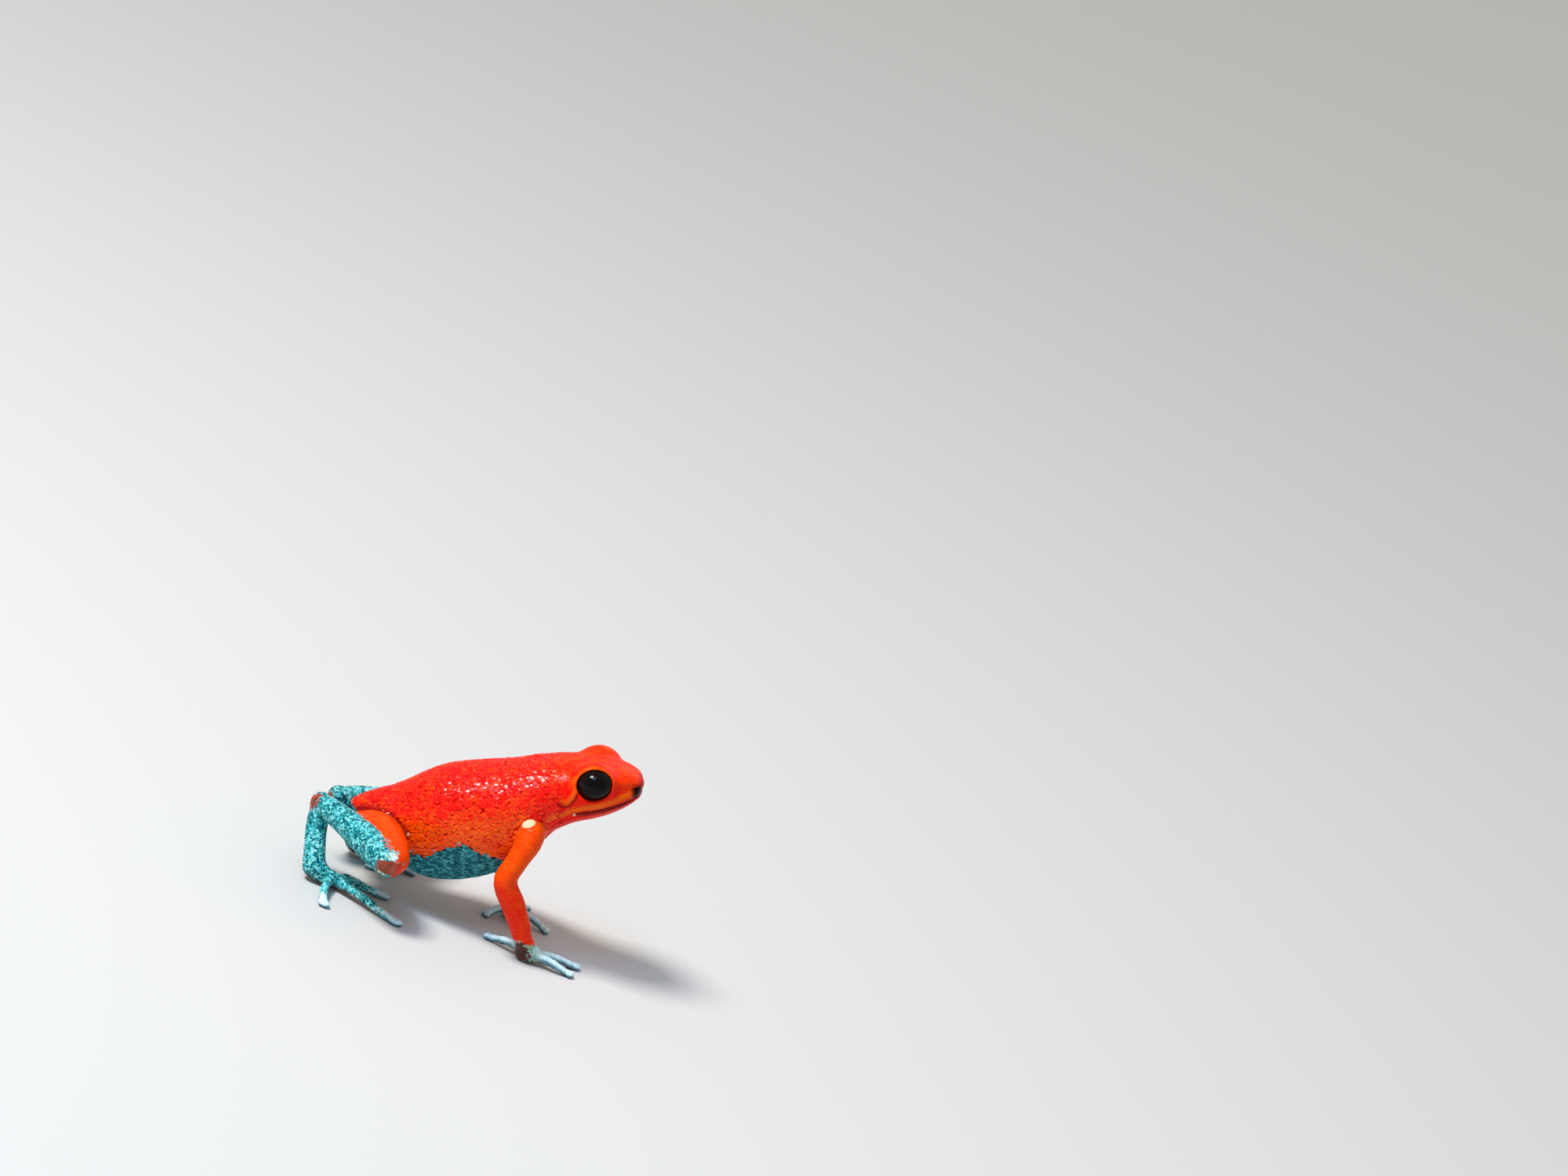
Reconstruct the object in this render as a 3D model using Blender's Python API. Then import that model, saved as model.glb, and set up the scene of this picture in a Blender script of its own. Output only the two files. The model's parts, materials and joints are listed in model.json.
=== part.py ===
"""Granular poison frog, a still life-size model that stands on its own four feet.

The frog faces +X, its left side is +Y and the floor is z = 0.
All sizes below are in millimetres; finish_nodes() turns the meshes into metres.
"""

import math

import bmesh
import bpy
import numpy as np
from mathutils import Matrix, Vector

MILLIMETRE = 0.001

# Driving sizes of the body
VENT = Vector((-8.85, 0.0, 5.24))
BODY_PITCH = math.radians(24.9)
SNOUT_TO_VENT = 20.2
NECK = 14.35
JOINT_GAP = 0.28
EYE_GAP = 0.16

# Stations along the body from the vent: distance, half width, height above and depth below the axis
BODY_STATIONS = (
    (0.0, 0.40, 0.20, 0.45),
    (0.6, 1.15, 0.42, 1.50),
    (1.6, 1.85, 0.68, 3.00),
    (3.4, 2.60, 1.08, 4.75),
    (4.8, 3.10, 1.58, 5.50),
    (6.6, 3.60, 2.12, 5.78),
    (8.7, 3.85, 2.20, 5.58),
    (11.0, 3.78, 2.14, 4.85),
    (12.7, 3.46, 2.26, 3.62),
    (14.0, 3.25, 2.26, 2.62),
    (15.4, 3.22, 2.20, 2.16),
    (16.8, 3.14, 2.04, 1.95),
    (18.0, 2.70, 1.74, 1.72),
    (18.9, 2.18, 1.38, 1.42),
    (19.6, 1.62, 0.97, 1.05),
    (20.0, 1.08, 0.60, 0.66),
    (20.2, 0.30, 0.16, 0.16),
)
BODY_SIDES = 32
BODY_SQUARENESS = 2.2
HEAD_SQUARENESS = 2.55

# Head: places are distance from the vent, half spacing from the midline and height over the axis
EYE_PLACE = (17.08, 2.36, 0.85)
EYE_HALF_SIZE = (1.23, 1.20, 1.05)
EYE_AXIS = (0.16, 1.0, 0.14)
EYE_OPENING = (1.20, 1.01)
DOME_PLACE = (16.95, 1.98, 0.70)
DOME_HALF_SIZE = (1.70, 1.46, 1.58)
NOSTRIL_PLACE = (19.75, 1.28, 0.04)
NOSTRIL_RADIUS = 0.17
EARDRUM_PLACE = (15.2, 3.0, -0.25)
EARDRUM_RADIUS = 0.52
MOUTH_CORNER = (15.7, -0.98)
MOUTH_FRONT = (20.14, -0.30)
MOUTH_SAG = 0.14
MOUTH_GROOVE_RADIUS = 0.11

LIMB_SIDES = 14
DIGIT_SIDES = 8
DIGIT_RINGS = 10
DIGIT_TIP_HEIGHT = 0.21
DIGIT_BOW = 0.035
FINGER = {"half_width": 0.26, "disc": 0.38, "arch": 0.62}
TOE = {"half_width": 0.28, "disc": 0.40, "arch": 0.66}

# Limb centre lines with radii, from the root outwards, and the digits as (number, root, tip)
RIGHT = {
    "arm": (
        ((2.9, -2.0, 9.3), 1.00),
        ((3.45, -3.35, 8.35), 0.95),
        ((3.2, -4.25, 6.9), 0.74),
        ((2.84, -4.6, 5.42), 0.78),
        ((4.15, -4.35, 3.45), 0.80),
        ((5.58, -4.0, 1.2), 0.62),
    ),
    "elbow": 3,
    "palm": (6.0, -3.72, 0.62),
    "palm_heading": 12.0,
    "fingers": (
        (1, (5.5, -3.4, 0.55), (2.8, -2.1)),
        (2, (5.9, -3.2, 0.6), (5.55, -1.25)),
        (3, (6.6, -3.4, 0.6), (9.73, -1.85)),
        (4, (6.6, -3.9, 0.58), (9.48, -3.85)),
    ),
    "thigh": (
        ((-7.5, -1.4, 4.45), 1.12),
        ((-6.55, -2.8, 4.65), 1.52),
        ((-5.5, -5.0, 4.75), 1.42),
        ((-4.78, -6.65, 4.72), 1.10),
    ),
    "shank": (
        ((-5.05, -7.1, 4.52), 1.04),
        ((-6.55, -5.55, 4.70), 1.10),
        ((-8.75, -3.4, 4.90), 0.92),
        ((-10.82, -1.23, 4.86), 0.72),
    ),
    "tarsus": (
        ((-10.82, -1.23, 4.86), 0.72),
        ((-10.5, -2.1, 3.1), 0.72),
        ((-9.79, -3.15, 1.0), 0.74),
    ),
    "foot": (
        ((-9.79, -3.15, 1.0), 0.66),
        ((-8.9, -3.3, 0.7), 0.60),
        ((-7.9, -3.3, 0.56), 0.50),
    ),
    "toes": (
        (1, (-8.4, -2.9, 0.55), (-8.3, -1.2)),
        (2, (-8.0, -2.9, 0.55), (-6.45, -0.8)),
        (3, (-7.9, -3.1, 0.55), (-4.25, -1.7)),
        (4, (-7.9, -3.4, 0.58), (-2.75, -6.1)),
        (5, (-8.4, -3.6, 0.58), (-8.1, -7.7)),
    ),
}
LEFT = {
    "arm": (
        ((2.9, 2.0, 9.3), 1.00),
        ((3.2, 3.35, 8.4), 0.95),
        ((2.2, 4.3, 6.9), 0.74),
        ((1.4, 4.8, 5.3), 0.78),
        ((2.5, 4.3, 3.3), 0.80),
        ((3.6, 3.7, 1.2), 0.62),
    ),
    "elbow": 3,
    "palm": (4.15, 3.45, 0.62),
    "palm_heading": -10.0,
    "fingers": (
        (1, (3.7, 3.2, 0.55), (2.3, 1.7)),
        (2, (4.2, 3.0, 0.6), (5.2, 1.25)),
        (3, (4.7, 3.3, 0.6), (6.95, 2.75)),
        (4, (4.5, 3.7, 0.58), (5.0, 6.1)),
    ),
    "thigh": (
        ((-7.45, 1.4, 4.45), 1.12),
        ((-6.4, 2.7, 4.6), 1.52),
        ((-5.2, 4.75, 4.5), 1.42),
        ((-4.3, 6.25, 4.34), 1.10),
    ),
    "shank": (
        ((-4.5, 6.7, 4.1), 1.04),
        ((-5.95, 5.45, 4.28), 1.10),
        ((-7.95, 3.85, 4.44), 0.96),
        ((-9.95, 2.2, 4.52), 0.72),
    ),
    "tarsus": (
        ((-9.95, 2.2, 4.52), 0.72),
        ((-8.95, 3.2, 2.85), 0.72),
        ((-7.75, 4.6, 1.0), 0.74),
    ),
    "foot": (
        ((-7.75, 4.6, 1.0), 0.66),
        ((-6.9, 4.65, 0.7), 0.60),
        ((-5.9, 4.6, 0.56), 0.50),
    ),
    "toes": (
        (1, (-6.4, 4.2, 0.55), (-6.2, 2.7)),
        (2, (-6.0, 4.2, 0.55), (-4.6, 3.1)),
        (3, (-5.9, 4.4, 0.55), (-3.1, 4.8)),
        (4, (-5.9, 4.7, 0.58), (-1.3, 7.6)),
        (5, (-6.4, 4.9, 0.58), (-5.9, 8.3)),
    ),
}

SKIN_RED = ("skin_red", (0.78, 0.045, 0.01), 0.35)
SKIN_TURQUOISE = ("skin_turquoise", (0.05, 0.33, 0.38), 0.42)
SKIN_PALE_BLUE = ("skin_pale_blue", (0.33, 0.50, 0.55), 0.45)
EYE_BLACK = ("eye_black", (0.012, 0.007, 0.006), 0.08)


def clear_scene():
    for item in list(bpy.data.objects):
        bpy.data.objects.remove(item)


def material(finish):
    """A Principled material made once for each finish."""
    name, colour, roughness = finish
    made = bpy.data.materials.get(name)
    if made is None:
        made = bpy.data.materials.new(name)
        made.use_nodes = True
        shader = made.node_tree.nodes["Principled BSDF"]
        shader.inputs["Base Color"].default_value = (*colour, 1.0)
        shader.inputs["Roughness"].default_value = roughness
        shader.inputs["Metallic"].default_value = 0.0
    return made


def add_object(name, mesh):
    item = bpy.data.objects.new(name, mesh)
    bpy.context.scene.collection.objects.link(item)
    return item


def from_bmesh(name, bm):
    mesh = bpy.data.meshes.new(name)
    bm.to_mesh(mesh)
    bm.free()
    return add_object(name, mesh)


def hermite(stations, at):
    """Smooth values between stations, whose first column is the place along the curve."""
    table = np.array(stations, float)
    place, value = table[:, 0], table[:, 1:]
    slope = np.gradient(value, place, axis=0)
    at = np.clip(np.atleast_1d(np.array(at, float)), place[0], place[-1])
    index = np.clip(np.searchsorted(place, at) - 1, 0, len(place) - 2)
    step = (place[index + 1] - place[index])[:, None]
    t = ((at - place[index])[:, None]) / step
    return (
        value[index] * (2 * t**3 - 3 * t**2 + 1)
        + slope[index] * step * (t**3 - 2 * t**2 + t)
        + value[index + 1] * (3 * t**2 - 2 * t**3)
        + slope[index + 1] * step * (t**3 - t**2)
    )


def on_body(along, side, up):
    """A point from its distance from the vent, its offset from the midline and height over the axis."""
    forward = Vector((math.cos(BODY_PITCH), 0, math.sin(BODY_PITCH)))
    upward = Vector((-math.sin(BODY_PITCH), 0, math.cos(BODY_PITCH)))
    return VENT + forward * along + Vector((0, side, 0)) + upward * up


def superellipse(angle, exponent):
    across, over = math.cos(angle), math.sin(angle)
    return (
        math.copysign(abs(across) ** (2 / exponent), across),
        math.copysign(abs(over) ** (2 / exponent), over),
    )


def squareness(along):
    """The exponent of the body's outline, which is rounder at the trunk than at the head."""
    share = min(max((along - 12.5) / 4.0, 0.0), 1.0)
    return BODY_SQUARENESS + (HEAD_SQUARENESS - BODY_SQUARENESS) * share


def loft(name, rings):
    """A closed body through rings that have the same number of points."""
    bm = bmesh.new()
    loops = [[bm.verts.new(point) for point in ring] for ring in rings]
    count = len(rings[0])
    for near, far in zip(loops, loops[1:]):
        for i in range(count):
            j = (i + 1) % count
            bm.faces.new((near[i], near[j], far[j], far[i]))
    bm.faces.new(loops[0])
    bm.faces.new(loops[-1])
    bmesh.ops.recalc_face_normals(bm, faces=bm.faces)
    return from_bmesh(name, bm)


def body_loft(name, start, end, count):
    """The stretch of head or torso between two distances from the vent, its rings closest near the ends."""
    rings = []
    for i in range(count):
        share = 0.5 - 0.5 * math.cos(math.pi * i / (count - 1))
        along = start + (end - start) * share
        half_width, above, below = hermite(BODY_STATIONS, along)[0]
        ring = []
        for k in range(BODY_SIDES):
            across, over = superellipse(2 * math.pi * k / BODY_SIDES, squareness(along))
            middle = (above - below) / 2
            height = middle + over * (above + below) / 2
            ring.append(on_body(along, across * half_width, height))
        rings.append(ring)
    return loft(name, rings)


def tube(name, path, count, sides, flatness=1.0, round_start=True, round_end=True):
    """A smooth tube through (point, radius) stations with rounded ends; flatness scales its height."""
    points = np.array([point for point, _ in path], float)
    spacing = np.linalg.norm(np.diff(points, axis=0), axis=1)
    place = np.concatenate([[0.0], np.cumsum(spacing)])
    stations = [(s, *p, r) for s, p, (_, r) in zip(place, points, path)]
    centres = [(s, hermite(stations, s)[0]) for s in np.linspace(0, place[-1], count)]
    rows = [(Vector(row[:3]), row[3]) for _, row in centres]
    heading = [
        (rows[min(i + 1, count - 1)][0] - rows[max(i - 1, 0)][0]).normalized()
        for i in range(count)
    ]
    cap_angles = (math.radians(22), math.radians(50), math.radians(72))
    ends = []
    if round_start:
        first, radius = rows[0]
        ends += [(first - heading[0] * radius * math.cos(a), radius * math.sin(a), heading[0])
                 for a in cap_angles]
    ends += [(centre, radius, way) for (centre, radius), way in zip(rows, heading)]
    if round_end:
        last, radius = rows[-1]
        ends += [(last + heading[-1] * radius * math.cos(a), radius * math.sin(a), heading[-1])
                 for a in reversed(cap_angles)]
    side = heading[0].cross(Vector((0, 0, 1)))
    if side.length < 0.2:
        side = heading[0].cross(Vector((0, 1, 0)))
    rings = []
    for centre, radius, way in ends:
        side = (side - way * side.dot(way)).normalized()
        over = side.cross(way)
        rings.append([
            centre + side * radius * math.cos(angle) + over * radius * flatness * math.sin(angle)
            for angle in (2 * math.pi * k / sides for k in range(sides))
        ])
    return loft(name, rings)


def digit(name, root, tip, sizes, bow):
    """A finger or toe that arches from its root to a flat disc on the floor and bows to one side."""
    root = Vector(root)
    foot = Vector((tip[0], tip[1], DIGIT_TIP_HEIGHT))
    slim, disc = sizes["half_width"], sizes["disc"]
    stations = (
        (0.00, root.z, slim * 1.25, slim * 1.2),
        (0.30, sizes["arch"], slim * 1.05, slim),
        (0.62, 0.43, slim, slim * 0.95),
        (0.80, 0.27, slim * 0.98, slim * 0.9),
        (0.90, DIGIT_TIP_HEIGHT, disc, slim * 0.95),
        (0.965, DIGIT_TIP_HEIGHT, disc * 0.86, slim * 0.8),
        (1.00, DIGIT_TIP_HEIGHT, disc * 0.32, slim * 0.35),
    )
    way = (foot - root)
    way.z = 0
    side = Vector((way.y, -way.x, 0)).normalized()
    shares = [1 - (1 - i / (DIGIT_RINGS - 1)) ** 1.45 for i in range(DIGIT_RINGS)]
    rings = []
    for share in shares:
        height, half_width, half_height = hermite(stations, share)[0]
        centre = Vector((root.x, root.y, 0)) + way * share + Vector((0, 0, height))
        centre += side * bow * way.length * math.sin(math.pi * share)
        rings.append([
            centre + side * half_width * math.cos(angle) + Vector((0, 0, half_height * math.sin(angle)))
            for angle in (2 * math.pi * k / DIGIT_SIDES for k in range(DIGIT_SIDES))
        ])
    return loft(name, rings)


def ellipsoid(name, centre, half_size, turn, segments=20, rings=12):
    """A sphere primitive stretched to its three half sizes and turned by a rotation matrix."""
    bm = bmesh.new()
    bmesh.ops.create_uvsphere(bm, u_segments=segments, v_segments=rings, radius=1.0)
    bm.transform(Matrix.Translation(centre) @ turn @ Matrix.Diagonal((*half_size, 1.0)))
    return from_bmesh(name, bm)


def apply_modifiers(item):
    evaluated = item.evaluated_get(bpy.context.evaluated_depsgraph_get())
    mesh = bpy.data.meshes.new_from_object(evaluated)
    item.modifiers.clear()
    item.data = mesh


def fuse(name, pieces):
    """One closed body from overlapping pieces, by a Boolean union on their collection."""
    base, others = pieces[0], pieces[1:]
    group = bpy.data.collections.new(name + "_pieces")
    bpy.context.scene.collection.children.link(group)
    for piece in others:
        group.objects.link(piece)
    union = base.modifiers.new("union", "BOOLEAN")
    union.operation = "UNION"
    union.operand_type = "COLLECTION"
    union.collection = group
    union.solver = "EXACT"
    apply_modifiers(base)
    for piece in others:
        bpy.data.objects.remove(piece)
    bpy.data.collections.remove(group)
    base.name = name
    keep_largest(base)
    return base


def cut(item, cutter, keep_cutter=False):
    difference = item.modifiers.new("cut", "BOOLEAN")
    difference.operation = "DIFFERENCE"
    difference.object = cutter
    difference.solver = "EXACT"
    apply_modifiers(item)
    if not keep_cutter:
        bpy.data.objects.remove(cutter)
    keep_largest(item)


def grown_copy(item, distance):
    """A copy whose surface stands the given distance outside the original."""
    bm = bmesh.new()
    bm.from_mesh(item.data)
    bmesh.ops.triangulate(bm, faces=bm.faces)
    moves = [vertex.normal * distance * min(vertex.calc_shell_factor(), 1.6) for vertex in bm.verts]
    for vertex, move in zip(bm.verts, moves):
        vertex.co += move
    return from_bmesh(item.name + "_grown", bm)


def clear_of(item, neighbour, gap):
    """Cuts the item back so that it meets its neighbour face to face across the gap."""
    cut(item, grown_copy(neighbour, gap))


def is_closed(bm):
    return all(edge.is_manifold for edge in bm.edges)


def merged(item):
    """The item's mesh with near points merged, as coarsely as still leaves it closed."""
    for distance in (0.004, 0.002, 0.001, 0.0003):
        bm = bmesh.new()
        bm.from_mesh(item.data)
        bmesh.ops.remove_doubles(bm, verts=bm.verts, dist=distance)
        bmesh.ops.dissolve_degenerate(bm, edges=bm.edges, dist=distance)
        bmesh.ops.triangulate(bm, faces=bm.faces)
        if is_closed(bm):
            return bm
        bm.free()
    bm = bmesh.new()
    bm.from_mesh(item.data)
    return bm


def islands_of(bm):
    """Lists of faces that hang together."""
    unseen = set(bm.faces)
    islands = []
    for seed in bm.faces:
        if seed not in unseen:
            continue
        unseen.remove(seed)
        island, front = [seed], [seed]
        while front:
            for edge in front.pop().edges:
                for other in edge.link_faces:
                    if other in unseen:
                        unseen.remove(other)
                        island.append(other)
                        front.append(other)
        islands.append(island)
    return islands


def signed_volume(faces):
    return sum(f.verts[0].co.dot(f.verts[1].co.cross(f.verts[2].co)) for f in faces) / 6


def keep_largest(item):
    """Leaves only the closed surface with the largest volume."""
    bm = merged(item)
    islands = sorted(islands_of(bm), key=lambda faces: abs(signed_volume(faces)))
    drop = [face for island in islands[:-1] for face in island]
    bmesh.ops.delete(bm, geom=drop, context="FACES")
    bmesh.ops.recalc_face_normals(bm, faces=bm.faces)
    bm.to_mesh(item.data)
    bm.free()


def halve(name, item, point, normal):
    """A closed copy of what lies behind a plane, the side its normal points away from."""
    bm = bmesh.new()
    bm.from_mesh(item.data)
    bmesh.ops.bisect_plane(
        bm, geom=bm.verts[:] + bm.edges[:] + bm.faces[:],
        plane_co=point, plane_no=normal, clear_outer=True,
    )
    rim = [edge for edge in bm.edges if edge.is_boundary]
    bmesh.ops.holes_fill(bm, edges=rim, sides=0)
    bmesh.ops.triangulate(bm, faces=bm.faces)
    return from_bmesh(name, bm)


def cut_floor(item):
    """Trims what dips below the floor, which leaves small flats to stand on."""
    bm = bmesh.new()
    bmesh.ops.create_cube(bm, size=1.0)
    depth = 4.0
    bm.transform(Matrix.Translation((0, 0, -depth / 2)) @ Matrix.Diagonal((60, 60, depth, 1)))
    cut(item, from_bmesh("floor_cutter", bm))


def body_turn():
    return Matrix.Rotation(-BODY_PITCH, 4, "Y")


def mouth_points(side_sign):
    """Half of the mouth line, from its corner round to the tip of the snout."""
    points = []
    steps = 8
    for i in range(steps + 1):
        share = i / steps
        along = MOUTH_CORNER[0] + (MOUTH_FRONT[0] - MOUTH_CORNER[0]) * math.sin(share * math.pi / 2)
        up = MOUTH_CORNER[1] + (MOUTH_FRONT[1] - MOUTH_CORNER[1]) * share
        up -= MOUTH_SAG * math.sin(math.pi * share)
        half_width, above, below = hermite(BODY_STATIONS, along)[0]
        level = min(abs(up - (above - below) / 2) / ((above + below) / 2), 1.0)
        exponent = squareness(along)
        reach = half_width * (1 - level**exponent) ** (1 / exponent)
        points.append(on_body(along, side_sign * reach * (i < steps), up))
    return points


def mouth_cutter():
    """A thin tube along the closed mouth line, from one corner round the snout to the other."""
    right = mouth_points(-1)
    left = list(reversed(mouth_points(1)))[1:]
    curve = bpy.data.curves.new("mouth", "CURVE")
    curve.dimensions = "3D"
    curve.bevel_depth = MOUTH_GROOVE_RADIUS
    curve.bevel_resolution = 1
    curve.use_fill_caps = True
    line = curve.splines.new("POLY")
    line.points.add(len(right + left) - 1)
    for point, place in zip(line.points, right + left):
        point.co = (*place, 1.0)
    guide = add_object("mouth_line", curve)
    mesh = bpy.data.meshes.new_from_object(
        guide.evaluated_get(bpy.context.evaluated_depsgraph_get()))
    bpy.data.objects.remove(guide)
    bm = bmesh.new()
    bm.from_mesh(mesh)
    bmesh.ops.remove_doubles(bm, verts=bm.verts, dist=0.001)
    bmesh.ops.recalc_face_normals(bm, faces=bm.faces)
    return from_bmesh("mouth_cutter", bm)


def make_head():
    """Snout, lids, nostrils, mouth line and eardrums in one solid."""
    turn = body_turn()
    start = NECK + JOINT_GAP / 2
    skull = body_loft("skull", start, SNOUT_TO_VENT, 18)
    domes = []
    for sign in (-1, 1):
        place = on_body(DOME_PLACE[0], sign * DOME_PLACE[1], DOME_PLACE[2])
        domes.append(ellipsoid("lid_dome", place, DOME_HALF_SIZE, turn, 22, 14))
        drum = on_body(EARDRUM_PLACE[0], sign * EARDRUM_PLACE[1], EARDRUM_PLACE[2])
        sizes = (EARDRUM_RADIUS, 0.3, EARDRUM_RADIUS)
        domes.append(ellipsoid("eardrum", drum, sizes, turn, 12, 8))
    head = fuse("head", [skull, *domes])
    for sign in (-1, 1):
        socket = on_body(EYE_PLACE[0], sign * EYE_PLACE[1], EYE_PLACE[2])
        reach = [half + EYE_GAP for half in EYE_HALF_SIZE]
        cut(head, ellipsoid("socket", socket, reach, turn, 24, 14))
        cut(head, lid_opening(socket, sign))
        pit = on_body(NOSTRIL_PLACE[0], sign * NOSTRIL_PLACE[1], NOSTRIL_PLACE[2])
        cut(head, ellipsoid("nostril", pit, (NOSTRIL_RADIUS,) * 3, turn, 8, 6))
    cut(head, mouth_cutter())
    return head


def lid_opening(centre, sign):
    """The oval opening between the lids, as an oval column that runs outwards from the eye's centre."""
    outward = Vector((EYE_AXIS[0], sign * EYE_AXIS[1], EYE_AXIS[2])).normalized()
    along = (Vector((1, 0, 0)) - outward * outward.x).normalized()
    over = outward.cross(along)
    axes = Matrix((along, over, outward)).transposed().to_4x4()
    length = 4.0
    bm = bmesh.new()
    bmesh.ops.create_cone(bm, cap_ends=True, segments=28, radius1=1.0, radius2=1.0, depth=length)
    bm.transform(Matrix.Diagonal((*EYE_OPENING, 1.0, 1.0)) @ Matrix.Translation((0, 0, length / 2)))
    bm.transform(Matrix.Translation(centre) @ body_turn() @ axes)
    return from_bmesh("lid_opening", bm)


def make_eye(name, sign):
    place = on_body(EYE_PLACE[0], sign * EYE_PLACE[1], EYE_PLACE[2])
    return ellipsoid(name, place, EYE_HALF_SIZE, body_turn(), 24, 14)


def make_arm(side, pose, torso):
    """Upper arm, forearm and hand of one side, parted at the elbow and the wrist."""
    path = pose["arm"]
    elbow = Vector(path[pose["elbow"]][0])
    wrist = Vector(path[-1][0])
    before = (elbow - Vector(path[pose["elbow"] - 1][0])).normalized()
    after = (Vector(path[pose["elbow"] + 1][0]) - elbow).normalized()
    middle = (before + after).normalized()
    whole = tube("arm", path, 17, LIMB_SIDES)
    upper = halve("upper_arm_" + side, whole, elbow - middle * JOINT_GAP / 2, middle)
    lower = halve("forearm_" + side, whole, elbow + middle * JOINT_GAP / 2, -middle)
    bpy.data.objects.remove(whole)
    clear_of(upper, torso, JOINT_GAP)
    way = (wrist - elbow).normalized()
    lower_trimmed = halve("forearm_" + side, lower, wrist - way * JOINT_GAP / 2, way)
    bpy.data.objects.remove(lower)
    lower_trimmed.name = "forearm_" + side
    turn = Matrix.Rotation(math.radians(pose["palm_heading"]), 4, "Z")
    palm = ellipsoid("palm", Vector(pose["palm"]), (0.98, 0.78, 0.66), turn, 16, 10)
    heel_of_hand = tube("wrist", ((tuple(wrist), 0.60), (pose["palm"], 0.50)), 5, LIMB_SIDES)
    bow = DIGIT_BOW if side == "right" else -DIGIT_BOW
    fingers = [digit(f"finger_{n}", root, tip, FINGER, (n - 2.5) * bow)
               for n, root, tip in pose["fingers"]]
    hand = fuse("hand_" + side, [palm, heel_of_hand, *fingers])
    clear_of(hand, lower_trimmed, JOINT_GAP)
    cut_floor(hand)
    return [(upper, path[1][0]), (lower_trimmed, tuple(elbow)), (hand, tuple(wrist))]


def make_leg(side, pose, torso):
    """Thigh, shank, tarsus and foot of one side, each cut clear of the one it meets."""
    shank = tube("shank_" + side, pose["shank"], 11, LIMB_SIDES)
    thigh = tube("thigh_" + side, pose["thigh"], 10, LIMB_SIDES, flatness=1.08)
    clear_of(shank, torso, JOINT_GAP)
    clear_of(thigh, torso, JOINT_GAP)
    clear_of(thigh, shank, JOINT_GAP)
    tarsus = tube("tarsus_" + side, pose["tarsus"], 9, LIMB_SIDES)
    clear_of(tarsus, shank, JOINT_GAP)
    sole = tube("sole", pose["foot"], 6, LIMB_SIDES)
    bow = DIGIT_BOW if side == "right" else -DIGIT_BOW
    toes = [digit(f"toe_{n}", root, tip, TOE, (n - 3) * bow) for n, root, tip in pose["toes"]]
    foot = fuse("foot_" + side, [sole, *toes])
    clear_of(foot, tarsus, JOINT_GAP)
    cut_floor(foot)
    return [
        (thigh, pose["thigh"][0][0]),
        (shank, pose["shank"][0][0]),
        (tarsus, pose["tarsus"][0][0]),
        (foot, pose["foot"][0][0]),
    ]


def finish_nodes(nodes):
    """Turns the meshes into metres, centres the frog over the origin and moves each origin to its root."""
    corners = np.array([v.co for item, _, _, _ in nodes for v in item.data.vertices])
    middle = (corners.min(0) + corners.max(0)) / 2
    to_origin = Matrix.Translation((-middle[0], -middle[1], 0))
    group = bpy.data.collections.new("granular_poison_frog")
    bpy.context.scene.collection.children.link(group)
    placed = {}
    for item, root, finish, parent in nodes:
        mesh = item.data
        root = (to_origin @ Vector(root)) * MILLIMETRE
        mesh.transform(Matrix.Scale(MILLIMETRE, 4) @ to_origin)
        mesh.transform(Matrix.Translation(-root))
        mesh.name = item.name
        mesh.materials.clear()
        mesh.materials.append(material(finish))
        mesh.shade_smooth()
        mesh.set_sharp_from_angle(angle=math.radians(50))
        item.location = root - (placed[parent][1] if parent else Vector())
        item.parent = placed[parent][0] if parent else None
        bpy.context.scene.collection.objects.unlink(item)
        group.objects.link(item)
        placed[item.name] = (item, root)


def main():
    clear_scene()
    torso = body_loft("torso", 0.0, NECK - JOINT_GAP / 2, 20)
    head = make_head()
    nodes = [
        (torso, tuple(VENT), SKIN_RED, None),
        (head, tuple(on_body(NECK, 0, 0)), SKIN_RED, "torso"),
    ]
    for side, sign, pose in (("right", -1, RIGHT), ("left", 1, LEFT)):
        eye = make_eye("eye_" + side, sign)
        nodes.append((eye, tuple(on_body(EYE_PLACE[0], sign * EYE_PLACE[1], EYE_PLACE[2])), EYE_BLACK, "head"))
        parent = "torso"
        for (item, root), finish in zip(make_arm(side, pose, torso), (SKIN_RED, SKIN_RED, SKIN_PALE_BLUE)):
            nodes.append((item, root, finish, parent))
            parent = item.name
        parent = "torso"
        finishes = (SKIN_RED, SKIN_TURQUOISE, SKIN_TURQUOISE, SKIN_TURQUOISE)
        for (item, root), finish in zip(make_leg(side, pose, torso), finishes):
            nodes.append((item, root, finish, parent))
            parent = item.name
    finish_nodes(nodes)


main()
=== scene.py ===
# %% [markdown]
# # A granular poison frog, life size
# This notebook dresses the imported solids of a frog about 20 mm long. Its back, head and arms are red
# and pebbly, its belly, legs and feet turquoise, its fingers and toes pale. We load the solids first,
# because every piece has to sit where they do, and keep their box to compare ours with at the end.

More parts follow.
